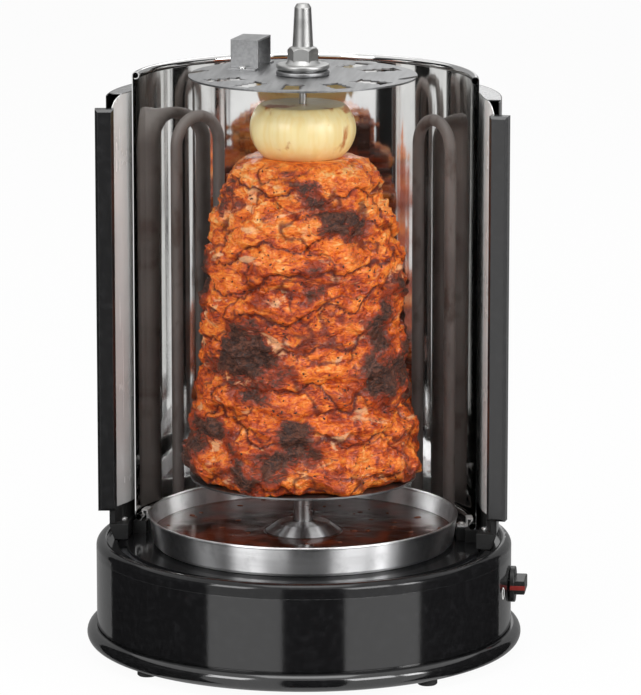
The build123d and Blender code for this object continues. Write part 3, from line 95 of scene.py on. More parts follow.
SKY_ON_SURFACES = 0.55             # strength of the sky's light on what it falls on
LAMP_AIM = 0.2                     # the lamps look at this height on the grill's axis


# ---------------------------------------------------------------- nodes
class Reading:
    """A number that changes over a surface; Python's signs add the Math nodes."""

    def __init__(self, finish, socket):
        self.finish = finish
        self.socket = socket

    def maths(self, operation, first, second):
        settings = {"operation": operation}
        maths_node = self.finish.node("ShaderNodeMath", settings, {0: first, 1: second})
        return Reading(self.finish, maths_node.outputs[0])

    def __add__(self, other):
        return self.maths("ADD", self, other)

    def __sub__(self, other):
        return self.maths("SUBTRACT", self, other)

    def __rsub__(self, other):
        return self.maths("SUBTRACT", other, self)

    def __mul__(self, other):
        return self.maths("MULTIPLY", self, other)

    def step(self, low, high):
        """0 below low, 1 above high, and a smooth climb between them."""
        settings = {"interpolation_type": "SMOOTHSTEP"}
        climb = self.finish.node("ShaderNodeMapRange", settings, {0: self, 1: low, 2: high})
        return Reading(self.finish, climb.outputs[0])


def set_stops(ramp, stops):
    while len(ramp.elements) < len(stops):
        ramp.elements.new(0.5)
    for element, (position, colour) in zip(ramp.elements, stops):
        element.position = position
        element.color = (*colour, 1.0)


def add_node(tree, kind, settings=None, inputs=None):
    """A new node with its settings, and each input linked where it is given a socket."""
    made = tree.nodes.new(kind)
    for name, value in (settings or {}).items():
        if name == "stops":
            set_stops(made.color_ramp, value)
        else:
            setattr(made, name, value)
    for key, value in (inputs or {}).items():
        value = value.socket if isinstance(value, Reading) else value
        if isinstance(value, bpy.types.NodeSocket):
            tree.links.new(value, made.inputs[key])
        else:
            made.inputs[key].default_value = value
    return made


class Finish:
    """One material, with the patterns that its colour, roughness and relief are made of."""

    def __init__(self, name, **fixed):
        self.material = bpy.data.materials.new(name)
        self.material.use_nodes = True
        self.tree = self.material.node_tree
        self.tree.nodes.clear()
        self.shader = self.node("ShaderNodeBsdfPrincipled")
        for socket, value in fixed.items():
            self.shader.inputs[socket.replace("_", " ")].default_value = value
        self.node("ShaderNodeOutputMaterial", {}, {"Surface": self.shader.outputs[0]})
        self.place = self.node("ShaderNodeTexCoord").outputs["Object"]

    def node(self, kind, settings=None, inputs=None):
        return add_node(self.tree, kind, settings, inputs)

    def grain(self, scale, detail=3.0, stretch=(1.0, 1.0, 1.0), twist=0.0):
        """Cloudy unevenness, drawn out along an axis where its stretch is small."""
        mapped = self.node("ShaderNodeMapping", {}, {"Vector": self.place, "Scale": stretch})
        sizes = {"Vector": mapped.outputs[0], "Scale": scale, "Detail": detail, "Distortion": twist}
        return Reading(self, self.node("ShaderNodeTexNoise", {}, sizes).outputs[0])

    def attribute(self, name):
        read = self.node("ShaderNodeAttribute", {"attribute_name": name})
        return Reading(self, read.outputs["Fac"])

    def height(self):
        """How high above the table a point is, in metres."""
        return Reading(self, self.node("ShaderNodeSeparateXYZ", {}, {0: self.place}).outputs[2])

    def ramp(self, reading, stops):
        return self.node("ShaderNodeValToRGB", {"stops": stops}, {0: reading}).outputs[0]

    def mix(self, share, first, second):
        """A colour between two others."""
        colours = {0: share}
        for key, colour in ((6, first), (7, second)):
            colours[key] = (*colour, 1.0) if isinstance(colour, tuple) else colour
        return self.node("ShaderNodeMix", {"data_type": "RGBA"}, colours).outputs[2]

    def feed(self, socket, source):
        source = source.socket if isinstance(source, Reading) else source
        self.tree.links.new(source, self.shader.inputs[socket])

    def relief(self, reading, strength, depth, edge=0.0):
        """Bumps, over an edge that is rounded where it has a radius."""
        inputs = {"Height": reading, "Strength": strength, "Distance": depth}
        if edge:
            rounded = self.node("ShaderNodeBevel", {"samples": 4}, {"Radius": edge})
            inputs["Normal"] = rounded.outputs[0]
        self.feed("Normal", self.node("ShaderNodeBump", {}, inputs).outputs[0])


# ---------------------------------------------------------------- finishes
def shade(colour, share, lift=0.0):
    return tuple(part * share + lift for part in colour)


def enamel(name, colour, rough, shine):
    """Stoved gloss paint: a faint orange peel, a little dust, rounded edges."""
    finish = Finish(name, Specular_IOR_Level=shine)
    dust = finish.grain(210.0, 4.0)
    wiped = finish.grain(14.0, 2.0, (1.0, 1.0, 0.4))
    finish.feed("Base Color", finish.mix(dust.step(0.45, 0.75), colour, shade(colour, 1.7)))
    finish.feed("Roughness", wiped * 0.05 + dust * 0.03 + rough)
    finish.relief(finish.grain(900.0, 2.0), 0.05, 0.0002, 0.0005)
    return finish


def mirror_sheet(name, colour, rough, wave, metal=1.0):
    """Bright rolled sheet: upright drawing lines and ripples, finger smears, slow waves."""
    finish = Finish(name, Metallic=metal)
    drawn = finish.grain(420.0, 2.0, (1.0, 1.0, 0.02))
    smear = finish.grain(22.0, 4.0)
    finish.feed("Base Color", finish.mix(smear.step(0.35, 0.7), colour, shade(colour, 0.9)))
    finish.feed("Roughness", drawn * 0.05 + smear.step(0.5, 0.8) * 0.06 + rough)
    ripples = finish.grain(75.0, 2.0, (1.0, 1.0, 0.03))
    finish.relief(finish.grain(11.0, 1.0, (1.0, 1.0, 0.25)) + ripples * 0.22, wave, 0.004)
    return finish


def brushed(name, colour, rough, stretch, edge=0.0003):
    """Satin metal with fine lines across its stretch."""
    finish = Finish(name, Metallic=1.0)
    lines = finish.grain(520.0, 3.0, stretch)
    bloom = finish.grain(40.0, 3.0)
    finish.feed("Base Color", finish.mix(lines.step(0.3, 0.7), shade(colour, 0.8), colour))
    finish.feed("Roughness", lines * 0.18 + bloom * 0.08 + rough)
    finish.relief(lines, 0.12, 0.0003, edge)
    return finish


def turned_metal(name, colour, rough, sweep=0.0):
    """Lathe rings up the axis, with a few darker rubbed places; sweep draws highlights up and down."""
    finish = Finish(name, Metallic=1.0, Anisotropic=sweep, Anisotropic_Rotation=0.25)
    rings = finish.grain(1400.0, 2.0, (0.01, 0.01, 1.0))
    rubbed = finish.grain(70.0, 3.0)
    finish.feed("Base Color", finish.mix(rubbed.step(0.45, 0.75), colour, shade(colour, 0.7)))
    finish.feed("Roughness", rings * 0.16 + rubbed * 0.1 + rough)
    finish.relief(rings, 0.1, 0.0002, 0.0003)
    return finish


def moulded(name, colour, rough, grain_size=1600.0):
    """Moulded plastic or rubber: a fine spark-eroded grain, paler where it is rubbed."""
    finish = Finish(name)
    pits = finish.grain(grain_size, 2.0)
    worn = finish.grain(55.0, 4.0)
    finish.feed("Base Color", finish.mix(worn.step(0.45, 0.8), colour, shade(colour, 1.3, 0.01)))
    finish.feed("Roughness", pits * 0.12 + worn * 0.08 + rough)
    finish.relief(pits, 0.15, 0.0002, 0.0005)
    return finish


def glazed(name, colour, rough):
    """White steatite with small brown specks."""
    finish = Finish(name)
    specks = finish.grain(800.0, 2.0)
    finish.feed("Base Color", finish.mix(specks.step(0.62, 0.72), colour, (0.5, 0.4, 0.3)))
    finish.feed("Roughness", specks * 0.15 + rough)
    finish.relief(specks, 0.1, 0.0002, 0.0004)
    return finish


def heated_tube(name):
    """Heater sheath: dark oxide, browner and greyer in slow bands up the leg."""
    finish = Finish(name, Metallic=0.1)
    oxide = finish.grain(95.0, 5.0, (1.0, 1.0, 0.5))
    bands = finish.grain(16.0, 2.0, (0.1, 0.1, 1.0))
    colour = finish.mix(bands.step(0.35, 0.65), (0.19, 0.165, 0.154), (0.26, 0.232, 0.216))
    finish.feed("Base Color", finish.mix(oxide.step(0.5, 0.72), colour, (0.14, 0.108, 0.094)))
    finish.feed("Roughness", oxide * 0.2 + 0.40)
    finish.relief(finish.grain(1100.0, 3.0), 0.2, 0.0002)
    return finish


def printed_film(name):
    """White print, a little worn."""
    finish = Finish(name)
    wear = finish.grain(1300.0, 3.0)
    finish.feed("Base Color", finish.mix(wear.step(0.5, 0.8), (0.8, 0.8, 0.79), (0.55, 0.55, 0.54)))
    finish.feed("Roughness", wear * 0.2 + 0.4)
    finish.relief(wear, 0.1, 0.0001)
    return finish


def roast(name):
    """Marinated slices: orange-red skin, paler fat, painted shade in the folds, a painted lighter top
    and crisp charred patches.
    """
    finish = Finish(name, Specular_IOR_Level=0.32, Coat_Roughness=0.14,
                    Subsurface_Weight=0.08, Subsurface_Scale=0.003)
    finish.shader.inputs["Subsurface Radius"].default_value = (1.0, 0.35, 0.15)
    patches = finish.grain(58.0, 5.0, (1.0, 1.0, 1.4), 1.1)
    fibres = finish.grain(165.0, 4.0, (1.0, 1.0, 2.0), 1.6)
    pores = finish.grain(950.0, 3.0)
    browned = finish.attribute("char") + (fibres - 0.5) * 0.9 + (pores - 0.5) * 0.25
    char = browned.step(0.46, 0.66)
    fold = finish.attribute("fold")
    # painted light: the colour ramp is lifted towards the top of the stack, a painted lighter top
    paler = finish.height().step(0.24, 0.33)
    flesh = finish.ramp(patches * 0.55 + fibres * 0.45 + paler * 0.07 - 0.028, [
        (0.34, (0.17, 0.018, 0.005)),
        (0.43, (0.45, 0.056, 0.008)),
        (0.50, (0.74, 0.145, 0.012)),
        (0.57, (0.88, 0.250, 0.030)),
        (0.66, (0.93, 0.500, 0.180)),
    ])
    marbled = finish.grain(31.0, 4.0, (1.0, 1.0, 2.3), 1.0).step(0.60, 0.68) * 0.55
    flesh = finish.mix(marbled, flesh, (0.90, 0.58, 0.31))
    # painted shade: the folds and creases are darkened towards dark red
    deep = finish.mix(fold.step(0.25, 0.95), flesh, (0.12, 0.014, 0.005))
    rim = finish.mix(browned.step(0.26, 0.5), deep, (0.27, 0.036, 0.010))
    crisp = (pores * 0.4 + fibres * 0.6).step(0.42, 0.62)
    crust = finish.mix(crisp, (0.034, 0.014, 0.010), (0.130, 0.045, 0.025))
    finish.feed("Base Color", finish.mix(char, rim, crust))
    finish.feed("Roughness", char * 0.22 + fibres * 0.2 + 0.28)
    finish.feed("Coat Weight", (1.0 - char * 0.7) * 0.28)
    finish.relief(fibres * 0.85 + pores * 0.15, 0.85, 0.0028)
    return finish


def onion_flesh(name):
    """Cut onion: cream flesh with fine upright veins and brown stains of fat and spice."""
    finish = Finish(name, Coat_Weight=0.25, Coat_Roughness=0.2,
                    Subsurface_Weight=0.15, Subsurface_Scale=0.006)
    finish.shader.inputs["Subsurface Radius"].default_value = (1.0, 0.7, 0.3)
    veins = finish.grain(240.0, 2.0, (1.0, 1.0, 0.08))
    stain = finish.grain(44.0, 5.0, (1.0, 1.0, 1.0), 0.5)
    low = 1.0 - finish.height().step(0.333, 0.352)
    cream = finish.mix(veins.step(0.35, 0.7), (0.79, 0.66, 0.34), (0.78, 0.61, 0.27))
    warm = finish.mix(low * 0.3, cream, (0.84, 0.50, 0.12))
    stained = (stain + low * 0.06).step(0.57, 0.66)
    finish.feed("Base Color", finish.mix(stained, warm, (0.45, 0.15, 0.03)))
    finish.feed("Roughness", veins * 0.15 + stain * 0.1 + 0.25)
    finish.relief(veins * 0.1 + stain * 0.9, 0.2, 0.0006)
    return finish


def wet_fat(name):
    """Drippings: dark brown fat over red-brown juice."""
    finish = Finish(name, Coat_Weight=0.2, Coat_Roughness=0.06)
    pools = finish.grain(34.0, 4.0, (1.0, 1.0, 1.0), 1.5)
    specks = finish.grain(420.0, 4.0)
    juice = finish.mix(pools.step(0.42, 0.66), (0.032, 0.009, 0.005), (0.185, 0.030, 0.008))
    finish.feed("Base Color", finish.mix(specks.step(0.66, 0.76), juice, (0.17, 0.045, 0.015)))
    finish.feed("Roughness", pools * 0.12 + specks * 0.08 + 0.08)
    finish.relief(pools + specks * 0.2, 0.04, 0.001)
    return finish


BLACK = (0.0075, 0.0075, 0.0080)
finishes = {}
for slot_name, maker, *values in (
        ("black_enamel", enamel, BLACK, 0.06, 1.0),
        ("black_deck", enamel, BLACK, 0.08, 0.45),
        ("galvanised_sheet", brushed, (0.52, 0.53, 0.55), 0.34, (1.0, 0.1, 1.0)),
        ("black_rubber", moulded, (0.016, 0.016, 0.016), 0.62, 900.0),
        ("bright_fastener", brushed, (0.76, 0.76, 0.75), 0.16, (1.0, 0.3, 1.0), 0.0002),
        ("mirror_sheet", mirror_sheet, (0.93, 0.93, 0.92), 0.035, 0.20),
        ("black_plastic", moulded, (0.012, 0.012, 0.012), 0.36),
        ("bright_steel", mirror_sheet, (0.92, 0.92, 0.91), 0.24, 0.14, 0.3),
        ("element_sheath", heated_tube),
        ("white_ceramic", glazed, (0.80, 0.78, 0.72), 0.38),
        ("tin_tab", brushed, (0.66, 0.66, 0.63), 0.30, (0.1, 1.0, 1.0)),
        ("turned_steel", turned_metal, (0.60, 0.60, 0.60), 0.16),
        ("bronze_bush", turned_metal, (0.58, 0.38, 0.16), 0.25),
        ("switch_moulding", moulded, (0.05, 0.05, 0.05), 0.45),
        ("satin_black_knob", moulded, (0.010, 0.010, 0.010), 0.26),
        ("red_pointer", moulded, (0.26, 0.014, 0.009), 0.30),
        ("white_print", printed_film),
        ("black_grommet", moulded, (0.014, 0.014, 0.014), 0.50, 1100.0),
        ("pan_steel", turned_metal, (0.97, 0.97, 0.98), 0.23, 1.0),
        ("brown_drippings", wet_fat),
        ("satin_disc", brushed, (0.36, 0.362, 0.366), 0.26, (1.0, 0.06, 1.0)),
        ("grip_aluminium", turned_metal, (0.56, 0.56, 0.55), 0.24),
        ("roast_meat", roast),
        ("onion_flesh", onion_flesh),
        ("black_skin", enamel, BLACK, 0.12, 0.55),
        ("bright_cap", mirror_sheet, (0.62, 0.62, 0.62), 0.22, 0.04),
        ("charcoal_handle", enamel, (0.010, 0.010, 0.0105), 0.20, 0.9)):
    finishes[slot_name] = maker(slot_name, *values)
for part in frame["record"]["subparts"]:
    slots = nodes[part["node"]].data.materials
    slots.clear()
    slots.append(finishes[part["material_slot"]].material)


# ---------------------------------------------------------------- meshes
def piece_of(name, mesh, body, slot, *stands_for):
    """A finished mesh as a piece that moves with its body and stands for CAD nodes."""
    if not mesh.materials:
        mesh.materials.append(finishes[slot].material)
    piece = bpy.data.objects.new(name, mesh)
    bpy.context.scene.collection.objects.link(piece)
    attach(piece, body)
    if stands_for:
        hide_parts(*stands_for)


def skin_mesh(name, rows, loop=False, numbers=None):
    """A closed skin over rows of points round an axis, its ends capped, or joined in a loop."""
    count, around = rows.shape[:2]
    points = rows.reshape(-1, 3).tolist()
    faces = []
    last = count if loop else count - 1
    for row in range(last):
        near = row * around
        far = ((row + 1) % count) * around
        for step in range(around):
            after = (step + 1) % around
            faces.append((near + step, near + after, far + after, far + step))
    if not loop:
        for row in (0, count - 1):
            middle = len(points)
            points.append(rows[row].mean(axis=0).tolist())
            for step in range(around):
                faces.append((row * around + step, row * around + (step + 1) % around, middle))
    mesh = bpy.data.meshes.new(name)
    mesh.from_pydata(points, [], faces)
    for label, values in (numbers or {}).items():
        padding = np.zeros(len(points) - values.size)
        values = np.concatenate([values.ravel(), padding]).astype(np.float32)
        mesh.attributes.new(label, "FLOAT", "POINT").data.foreach_set("value", values)
    shell = bmesh.new()
    shell.from_mesh(mesh)
    bmesh.ops.recalc_face_normals(shell, faces=shell.faces)
    shell.to_mesh(mesh)
    shell.free()
    mesh.shade_smooth()
    return mesh


def cloud(x, y, z, scale, octaves=3):
    """Smooth unevenness between about -1 and 1."""
    return noise.fractal(Vector((x * scale, y * scale, z * scale)), 0.9, 2.1, octaves)


def profile_of(node):
    """How far out a turned CAD node reaches at each height: (heights, radii)."""
    mesh = nodes[node].data
    points = np.empty(len(mesh.vertices) * 3, np.float32)
    mesh.vertices.foreach_get("co", points)
    points = points.reshape(-1, 3)
    radii = np.hypot(points[:, 0], points[:, 1] - SPIT_Y)
    heights = np.round(points[:, 2], 4)
    outer = {level: radii[heights == level].max() for level in np.unique(heights)}
    levels = [level for level in sorted(outer) if outer[level] > 0.01]
    return np.array(levels), np.array([outer[level] for level in levels])


def ease(value, low, high):
    """0 below low, 1 above high, and a smooth climb between them."""
    share = min(max((value - low) / (high - low), 0.0), 1.0)
    return share * share * (3.0 - 2.0 * share)


def slice_lip(x, y, z, pitch, seed):
    """One stack of slices: how far its lips stand out, and how deep its folds lie, which sets the
    painted shade in them.
    """
    wander = 0.95 * cloud(x + seed, y, z * 0.6, 15.0, 2) + 0.30 * cloud(x, y + seed, z, 48.0, 2)
    place = z / pitch + wander
    number = math.floor(place)
    share = place - number
    length = 0.5 + 0.9 * noise.noise(Vector((x * 24.0, y * 24.0, number * 7.3 + seed)))
    lip = ease(share, 0.0, 0.2) * (1.0 - 0.8 * share) * (0.55 + max(length, 0.0))
    fold = 1.0 - ease(share, 0.0, 0.16) * (1.0 - ease(share, 0.86, 1.0) * 0.6)
    return lip, fold


def meat_rows():
    """The stack of slices, as rows of points from its foot to its top."""
    levels, radii = profile_of("meat_cone")
    foot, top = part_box("meat_cone")[0].z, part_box("meat_cone")[1].z
    rows = np.zeros((MEAT_ROWS, MEAT_AROUND, 3))
    fold_shade_map = np.zeros((MEAT_ROWS, MEAT_AROUND))
    char_map = np.zeros((MEAT_ROWS, MEAT_AROUND))
    for row in range(MEAT_ROWS):
        share = row / (MEAT_ROWS - 1)
        z = foot + (top - foot) * share
        reach = float(np.interp(z, levels, radii))
        for step in range(MEAT_AROUND):
            angle = 2.0 * math.pi * step / MEAT_AROUND
            x, y = math.cos(angle), math.sin(angle)
            wide_x, wide_y = x * reach, y * reach
            lip, fold = slice_lip(wide_x, wide_y, z, SLICE_PITCH, 0.0)
            second_lip, second_fold_shade = slice_lip(wide_x, wide_y, z, SLICE_PITCH * SECOND_PITCH, 3.7)
            lumps = cloud(wide_x, wide_y, z, 42.0, 4)
            shreds = cloud(wide_x, wide_y, z * 1.5, 190.0, 4)
            chunk = min(1.7 * abs(cloud(wide_x, wide_y + 1.9, z * 1.25, 27.0, 2)), 1.0)
            raised = LIP_REACH * lip + SECOND_LIP_REACH * second_lip + LUMP_REACH * lumps
            raised = raised + SHRED_REACH * shreds + CHUNK_REACH * (chunk - 0.3)
            end = ease(share, 0.0, 0.03) * ease(1.0 - share, 0.0, 0.03)
            radius = (reach - MEAT_INSET + raised) * (0.965 + 0.035 * end)
            radius = min(radius, MEAT_WIDEST)
            torn = max(cloud(x, y, 0.2, 2.2, 3) + 0.4, 0.0)
            hang = torn * ease(share, 0.0, 0.03) * (1.0 - ease(share, 0.06, 0.16))
            droop = SHRED_DROOP * shreds * end - HEM_HANG * hang
            rows[row, step] = (x * radius, SPIT_Y + y * radius, max(z + droop, foot))
            crease = 1.0 - ease(chunk, 0.0, 0.22)
            # painted shade: the folds between slices and the creases between chunks are marked for
            # darkening, less so at the ends
            fold_shade_map[row, step] = max(fold, 0.6 * second_fold_shade, 0.8 * crease) * (0.6 + 0.4 * end)
            browned = cloud(wide_x + 0.7, wide_y, z * 1.4, 23.0, 5)
            toasted = 0.27 - 0.24 * ease(share, 0.62, 0.95)
            char_map[row, step] = min(max(toasted + 1.15 * browned + 26.0 * (raised - 0.004), 0.0), 1.0)
    return rows, {"fold": fold_shade_map, "char": char_map}


meat_skin, meat_numbers = meat_rows()
piece_of("meat_slices", skin_mesh("meat_slices", meat_skin, numbers=meat_numbers),
         "spit", "roast_meat", "meat_cone")


def onion_rows():
    """A halved onion: faint upright ribs, a soft lower curve and the flat cut on top."""
    foot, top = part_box("onion")[0].z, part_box("onion")[1].z
    levels, radii = profile_of("onion")
    rows = []
    for row in range(ONION_ROWS):
        share = row / (ONION_ROWS - 1)
        z = foot + (top - foot) * share
        reach = float(np.interp(z, levels, radii))
        around = []
        for step in range(ONION_AROUND):
            angle = 2.0 * math.pi * step / ONION_AROUND
            x, y = math.cos(angle), math.sin(angle)
            ribs = ONION_RIB_REACH * math.sin(angle * ONION_RIBS + 2.0 * cloud(x, y, 0.0, 2.0))
            swell = ONION_SWELL * cloud(x, y, z * 12.0, 1.3) + ribs
            round_over = ONION_ROUND_OVER * ease(share, 0.97, 1.0)
            radius = reach - ONION_INSET + swell - round_over
            around.append((x * radius, SPIT_Y + y * radius, z))
        rows.append(around)
    edge = rows[-1]
    for ring, share in enumerate(ONION_CUT_RINGS):
        level = top - ONION_CUT_STEP * (ring % 2)
        rows.append([(x * share, SPIT_Y + (y - SPIT_Y) * share, level) for x, y, z in edge])
    return np.array(rows)


piece_of("onion_half", skin_mesh("onion_half", onion_rows()), "spit", "onion_flesh", "onion")


def fat_rows():
    """The fat in the pan: a closed ring whose top is slightly uneven and climbs at its edges."""
    low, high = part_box("drippings")
    outer_top = high.x - 0.0001
    brim = high.z - FAT_BRIM
    section = [(FAT_INNER_TOP, brim), (FAT_INNER_FOOT, low.z),
               (outer_top - FAT_WALL_LEAN, low.z), (outer_top, brim)]
    top_row = len(section)
    for step in range(1, FAT_ROWS):
        share = step / FAT_ROWS
        section.append((outer_top + (FAT_INNER_TOP - outer_top) * share, high.z - FAT_LEVEL))
    rows = np.zeros((len(section), FAT_AROUND, 3))
    for row, (radius, z) in enumerate(section):
        for step in range(FAT_AROUND):
            angle = 2.0 * math.pi * step / FAT_AROUND
            x, y = radius * math.cos(angle), radius * math.sin(angle)
            rise = FAT_RIPPLE * cloud(x, y, 0.3, 46.0, 4) if row >= top_row else 0.0
            rows[row, step] = (x, SPIT_Y + y, z + rise)
    return rows, top_row


fat_skin, fat_top = fat_rows()
piece_of("fat_pool", skin_mesh("fat_pool", fat_skin, loop=True),
         "pan", "brown_drippings", "drippings")


# ---------------------------------------------------------------- crumbs and spice
def scatter_tree():
    """Small flattened grains on a surface, with their own density, sizes and seed."""
    tree = bpy.data.node_groups.new("scattered_grains", "GeometryNodeTree")
    face = tree.interface
    face.new_socket("Ground", in_out="INPUT", socket_type="NodeSocketGeometry")
    for name, kind in (("Grains per square metre", "Float"), ("Smallest", "Float"), ("Largest", "Float"),
                       ("Flatness", "Float"), ("Seed", "Int"), ("Finish", "Material")):
        face.new_socket(name, in_out="INPUT", socket_type="NodeSocket" + kind)
    face.new_socket("Grains", in_out="OUTPUT", socket_type="NodeSocketGeometry")

    def add(kind, settings=None, inputs=None):
        return add_node(tree, kind, settings, inputs)

    given = add("NodeGroupInput").outputs
    spread = {"Mesh": given["Ground"], "Density": given["Grains per square metre"],
              "Seed": given["Seed"]}
    dots = add("GeometryNodeDistributePointsOnFaces", {"distribute_method": "RANDOM"}, spread)
    grain = add("GeometryNodeMeshIcoSphere", None, {"Radius": 1.0, "Subdivisions": 1})
    sizes = {2: given["Smallest"], 3: given["Largest"], 8: given["Seed"]}
    size = add("FunctionNodeRandomValue", {"data_type": "FLOAT"}, sizes)
    flat = add("ShaderNodeMath", {"operation": "MULTIPLY"}, {0: size.outputs[1], 1: given["Flatness"]})
    wide = add("ShaderNodeMath", {"operation": "MULTIPLY"}, {0: size.outputs[1], 1: 1.6})
    sides = {0: wide.outputs[0], 1: size.outputs[1], 2: flat.outputs[0]}
    shape = add("ShaderNodeCombineXYZ", None, sides)
    spun = add("FunctionNodeRandomValue", {"data_type": "FLOAT"}, {2: 0.0, 3: 6.283})
    spin = add("ShaderNodeCombineXYZ", None, {2: spun.outputs[1]})
    turns = {0: dots.outputs["Rotation"], "Rotate By": spin.outputs[0]}
    turned = add("FunctionNodeRotateEuler", {"space": "LOCAL"}, turns)
    laid = {"Points": dots.outputs["Points"], "Instance": grain.outputs[0],
            "Rotation": turned.outputs[0], "Scale": shape.outputs[0]}
    grains = add("GeometryNodeInstanceOnPoints", None, laid)
    real = add("GeometryNodeRealizeInstances", None, {0: grains.outputs[0]})
    dress = {"Geometry": real.outputs[0], "Material": given["Finish"]}
    dressed = add("GeometryNodeSetMaterial", None, dress)
    add("NodeGroupOutput", None, {0: dressed.outputs[0]})
    return tree


grain_tree = scatter_tree()


def scattered(name, ground, body, finish, sizes):
    """Runs the scatter over a mesh and keeps its grains as a plain piece."""
    carrier = bpy.data.objects.new(name, ground)
    bpy.context.scene.collection.objects.link(carrier)
    maker = carrier.modifiers.new("grains", "NODES")
    maker.node_group = grain_tree
    sizes = {**sizes, "Finish": finish.material}
    for socket in grain_tree.interface.items_tree:
        if socket.name in sizes:
            maker[socket.identifier] = sizes[socket.name]
    ready = carrier.evaluated_get(bpy.context.evaluated_depsgraph_get())
    mesh = bpy.data.meshes.new_from_object(ready)
    mesh.name = name
    carrier.modifiers.remove(maker)
    bpy.data.objects.remove(carrier)
    mesh.shade_smooth()
    piece_of(name, mesh, body, "roast_meat")


def pepper(name, colour):
    """Ground spice or a crumb of meat, paler in places."""
    finish = Finish(name)
    tone = finish.grain(900.0, 3.0)
    finish.feed("Base Color", finish.mix(tone.step(0.35, 0.7), colour, shade(colour, 2.2)))
    finish.feed("Roughness", tone * 0.3 + 0.35)
    finish.relief(tone, 0.4, 0.0004)
    return finish


crumb_finish = pepper("meat_crumb", (0.11, 0.030, 0.012))
spice_finish = pepper("ground_spice", (0.040, 0.012, 0.006))


def bare_mesh(name, rows):
    """An open net over rows of points, only for things to be scattered on."""
    count, around = rows.shape[:2]
    faces = []
    for row in range(count - 1):
        for step in range(around):
            after = (step + 1) % around
            faces.append((row * around + step, row * around + after,
                          (row + 1) * around + after, (row + 1) * around + step))
    mesh = bpy.data.meshes.new(name)
    mesh.from_pydata(rows.reshape(-1, 3).tolist(), [], faces)
    return mesh


# ---------------------------------------------------------------- floor, cards, lights, camera
def studio_mesh(name, points, faces, material):
    """A mesh of the studio, which isn't part of the grill."""
    mesh = bpy.data.meshes.new(name)
    mesh.from_pydata(points, [], faces)
    mesh.materials.append(material)
    made = bpy.data.objects.new(name, mesh)
    bpy.context.scene.collection.objects.link(made)
    return made


def arc_card(name, start, end, material):
    """An upright curved card between two azimuths, seen only in reflections."""
    azimuths = [math.radians(azimuth) for azimuth in np.linspace(start, end, CARD_POSTS)]
    points = [(CARD_RADIUS * math.sin(azimuth), -CARD_RADIUS * math.cos(azimuth), z)
              for z in (CARD_LOW, CARD_HIGH) for azimuth in azimuths]
    faces = [(post, post + 1, CARD_POSTS + post + 1, CARD_POSTS + post)
             for post in range(CARD_POSTS - 1)]
    card = studio_mesh(name, points, faces, material)
    card.visible_camera = False
    card.visible_diffuse = False
    card.visible_shadow = False


def card_paint(name, **fixed):
    """A plain material: the node that it comes with, and the values that are given."""
    material = bpy.data.materials.new(name)
    material.use_nodes = True
    paint = material.node_tree.nodes["Principled BSDF"].inputs
    for socket, value in fixed.items():
        paint[socket.replace("_", " ")].default_value = value
    return material


def fresh_tree(owner):
    owner.use_nodes = True
    owner.node_tree.nodes.clear()
    return owner.node_tree


def make_floor():
    """A white floor that keeps the grill's shadow."""
    material = bpy.data.materials.new("floor_white")
    tree = fresh_tree(material)
    lit = add_node(tree, "ShaderNodeBsdfDiffuse", None, {"Color": (0.9, 0.9, 0.9, 1.0)})
    glow = add_node(tree, "ShaderNodeEmission")
    path = add_node(tree, "ShaderNodeLightPath")
    share = add_node(tree, "ShaderNodeMath", {"operation": "MULTIPLY"},
                     {0: path.outputs["Is Camera Ray"], 1: FLOOR_GLOW})
    blend = add_node(tree, "ShaderNodeMixShader", None,
                     {0: share.outputs[0], 1: lit.outputs[0], 2: glow.outputs[0]})
    add_node(tree, "ShaderNodeOutputMaterial", None, {0: blend.outputs[0]})
    reach = FLOOR_REACH
    corners = [(-reach, -reach, 0), (reach, -reach, 0), (reach, reach, 0), (-reach, reach, 0)]
    floor = studio_mesh("floor", corners, [(0, 1, 2, 3)], material)
    floor.visible_glossy = False


def make_world():
    """White to the camera and in reflections, and a plain soft light on everything."""
    world = bpy.data.worlds.new("studio")
    bpy.context.scene.world = world
    tree = fresh_tree(world)
    path = add_node(tree, "ShaderNodeLightPath").outputs
    most = {"operation": "MAXIMUM"}
    seen = add_node(tree, "ShaderNodeMath", most,
                    {0: path["Is Camera Ray"], 1: path["Is Glossy Ray"]})
    through = add_node(tree, "ShaderNodeMath", most,
                       {0: seen.outputs[0], 1: path["Is Transmission Ray"]})
    level = add_node(tree, "ShaderNodeMapRange", None,
                     {"Value": through.outputs[0], "To Min": SKY_ON_SURFACES, "To Max": 1.0})
    sky = add_node(tree, "ShaderNodeBackground", None, {"Strength": level.outputs[0]})
    add_node(tree, "ShaderNodeOutputWorld", None, {0: sky.outputs[0]})


card_black = card_paint("card_black", Base_Color=(0.01, 0.01, 0.01, 1.0), Roughness=1.0,
                        Specular_IOR_Level=0.0)
card_grey = card_paint("card_grey", Base_Color=(0.0, 0.0, 0.0, 1.0),
                       Emission_Color=(1.0, 1.0, 1.0, 1.0), Emission_Strength=0.3)
for number, (start, end, paint) in enumerate((
        (-4.5, 28.5, card_black), (71.5, 142.0, card_black), (-124.0, -45.5, card_black),
        (142.5, 176.0, card_grey), (-176.0, -124.5, card_grey))):
    arc_card(f"card_{number}", start, end, paint)
make_floor()
make_world()


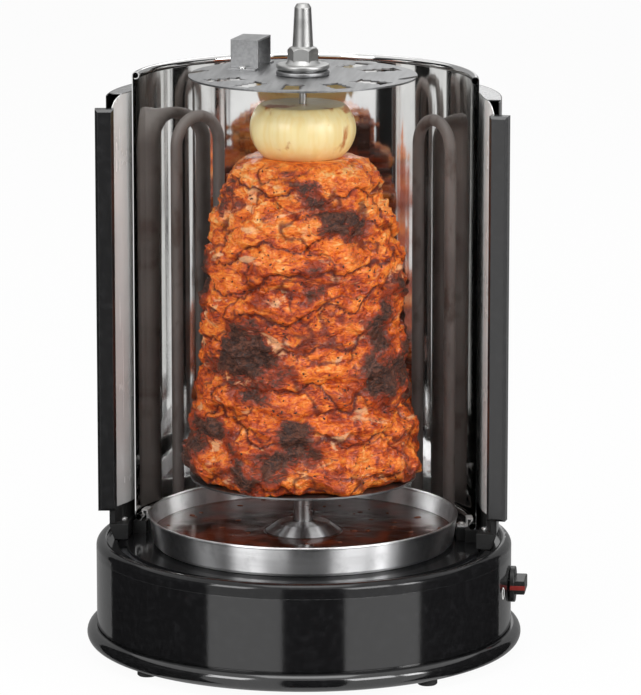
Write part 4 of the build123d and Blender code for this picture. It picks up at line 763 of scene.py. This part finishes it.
def soft_lamp(name, azimuth, elevation, distance, size, watts):
    """A square soft lamp that looks at the grill."""
    lamp = bpy.data.lights.new(name, "AREA")
    lamp.shape = "SQUARE"
    lamp.size = size
    lamp.energy = watts
    holder = bpy.data.objects.new(name, lamp)
    bpy.context.scene.collection.objects.link(holder)
    a, e = math.radians(azimuth), math.radians(elevation)
    back = Vector((math.sin(a) * math.cos(e), -math.cos(a) * math.cos(e), math.sin(e)))
    holder.location = Vector((0, 0, LAMP_AIM)) + back * distance
    holder.rotation_mode = "QUATERNION"
    holder.rotation_quaternion = (-back).to_track_quat("-Z", "Y")


# each lamp's azimuth and elevation in degrees, distance and size in metres, and power in watts
for lamp_name, *setting in (
        ("key_left", -36.0, 27.0, 2.2, 0.9, 15.0),
        ("key_right", 44.0, 25.0, 2.2, 0.9, 14.0),
        ("side_left", -70.0, 16.0, 2.2, 0.7, 5.0),
        ("side_right", 70.0, 16.0, 2.2, 0.7, 13.0),
        ("top_fill", 10.0, 78.0, 2.0, 1.2, 10.0),
        ("rear_fill", 180.0, 35.0, 2.4, 1.0, 6.0)):
    soft_lamp(lamp_name, *setting)

lens = bpy.data.cameras.new("camera")
lens.lens = CAMERA_LENS
lens.sensor_width = 36.0
lens.clip_end = 100.0
camera = bpy.data.objects.new("camera", lens)
bpy.context.scene.collection.objects.link(camera)
turn = math.radians(CAMERA_AZIMUTH)
camera.location = (CAMERA_DISTANCE * math.sin(turn), -CAMERA_DISTANCE * math.cos(turn), CAMERA_HEIGHT)
camera.rotation_euler = (math.radians(90.0 - CAMERA_PITCH), 0.0, turn - math.radians(CAMERA_TURN))
bpy.context.scene.camera = camera
bpy.context.scene.view_settings.view_transform = "Standard"

crumb_sizes = {"Grains per square metre": 1500.0, "Smallest": 0.0006, "Largest": 0.0021,
               "Flatness": 0.4, "Seed": 5}
spice_sizes = {"Grains per square metre": 14000.0, "Smallest": 0.00025, "Largest": 0.0008,
               "Flatness": 0.45, "Seed": 11}
scattered("meat_crumbs", bare_mesh("fat_top", fat_skin[fat_top + 2:-2]), "pan",
          crumb_finish, crumb_sizes)
scattered("spice_grains", bare_mesh("meat_side", meat_skin[4:-4]), "spit",
          spice_finish, spice_sizes)
